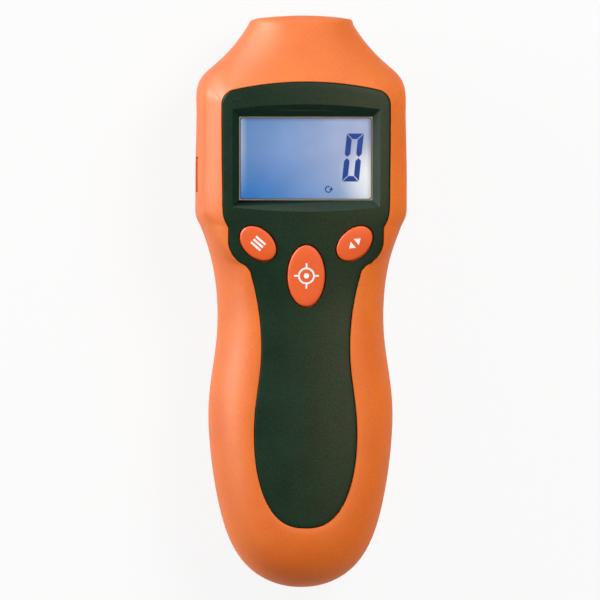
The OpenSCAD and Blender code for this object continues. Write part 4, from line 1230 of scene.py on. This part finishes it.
clearSelection()
bpy.ops.mesh.primitive_plane_add(size=stage["floor"], location=(0, 0, -stage["under"]))
floor = named("floor")
floorPaper = bpy.data.materials.new("whiteFloorPaper")
floorPaper.use_nodes = True
tree = floorPaper.node_tree
tree.nodes.clear()
paper = addNode(tree, "ShaderNodeBsdfDiffuse", {"Color": linear(stage["floorColour"])})
glow = addNode(tree, "ShaderNodeEmission", {"Color": (1, 1, 1, 1), "Strength": 1.0})
part = addNode(tree, "ShaderNodeMath", {"operation": "MULTIPLY", 1: stage["white"]}, {0: seenShare(tree)})
both = addNode(tree, "ShaderNodeMixShader", links={0: part, 1: paper, 2: glow})
addNode(tree, "ShaderNodeOutputMaterial", links={"Surface": both})
floor.data.materials.append(floorPaper)

world = bpy.data.worlds.new("studio")
bpy.context.scene.world = world
world.use_nodes = True
tree = world.node_tree
tree.nodes.clear()
dim = addNode(tree, "ShaderNodeBackground", {"Color": (1, 1, 1, 1), "Strength": stage["ambient"]})
white = addNode(tree, "ShaderNodeBackground", {"Color": (1, 1, 1, 1), "Strength": 1.0})
both = addNode(tree, "ShaderNodeMixShader", links={0: seenShare(tree), 1: dim, 2: white})
addNode(tree, "ShaderNodeOutputWorld", links={"Surface": both})

lamps = {
    "keyLamp": {"at": (-0.8, 0.3, 0.25), "size": (0.6, 0.3), "power": 6.0},
    "fillLamp": {"at": (0.38, 0.38, 0.8), "size": (0.4, 0.4), "power": 5.9},
    "sheenLamp": {"at": (-0.79, 0.48, 0.2), "size": (0.45, 0.4), "power": 39.0, "sheenOnly": True},
    "noseCard": {"at": (0.1, 0.9, 0.2), "size": (0.6, 0.25), "power": 5.0, "sheenOnly": True},
    "warmCard": {"at": (0.39, 0.05, 0.92), "size": (0.35, 0.4), "power": 5.0, "sheenOnly": True,
                 "tint": "#FFC08C"},
}
for name, lamp in lamps.items():
    clearSelection()
    bpy.ops.object.light_add(type="AREA", location=lamp["at"])
    light = bpy.context.active_object
    light.name = name
    light.data.shape = "RECTANGLE"
    light.data.size, light.data.size_y = lamp["size"]
    light.data.energy = lamp["power"]
    light.data.color = linear(lamp.get("tint", "#FFFFFF"))[:3]
    light.visible_diffuse = not lamp.get("sheenOnly", False)
    light.rotation_euler = (-Vector(lamp["at"])).to_track_quat("-Z", "Y").to_euler()

# the photograph's view: straight down with the nose up, leaning a little to the left, through a long lens
shot = {"lens": 900.0, "sensor": 36.0, "wide": 168.1, "tilt": 4.4, "aim": (-0.28, 0.42, 21.0),
        "near": 0.01, "far": 20.0}
clearSelection()
bpy.ops.object.camera_add()
camera = bpy.context.active_object
camera.data.lens = shot["lens"]
camera.data.sensor_width = shot["sensor"]
tilt = math.radians(shot["tilt"])
back = Vector((-math.sin(tilt), 0, math.cos(tilt)))
turn = Matrix((Vector((math.cos(tilt), 0, math.sin(tilt))), Vector((0, 1, 0)), back)).transposed()
camera.location = Vector(shot["aim"]) * mm + back * shot["wide"] * mm * shot["lens"] / shot["sensor"]
camera.rotation_euler = turn.to_euler()
camera.data.clip_start, camera.data.clip_end = shot["near"], shot["far"]
bpy.context.scene.camera = camera
bpy.context.scene.view_settings.view_transform = "Standard"
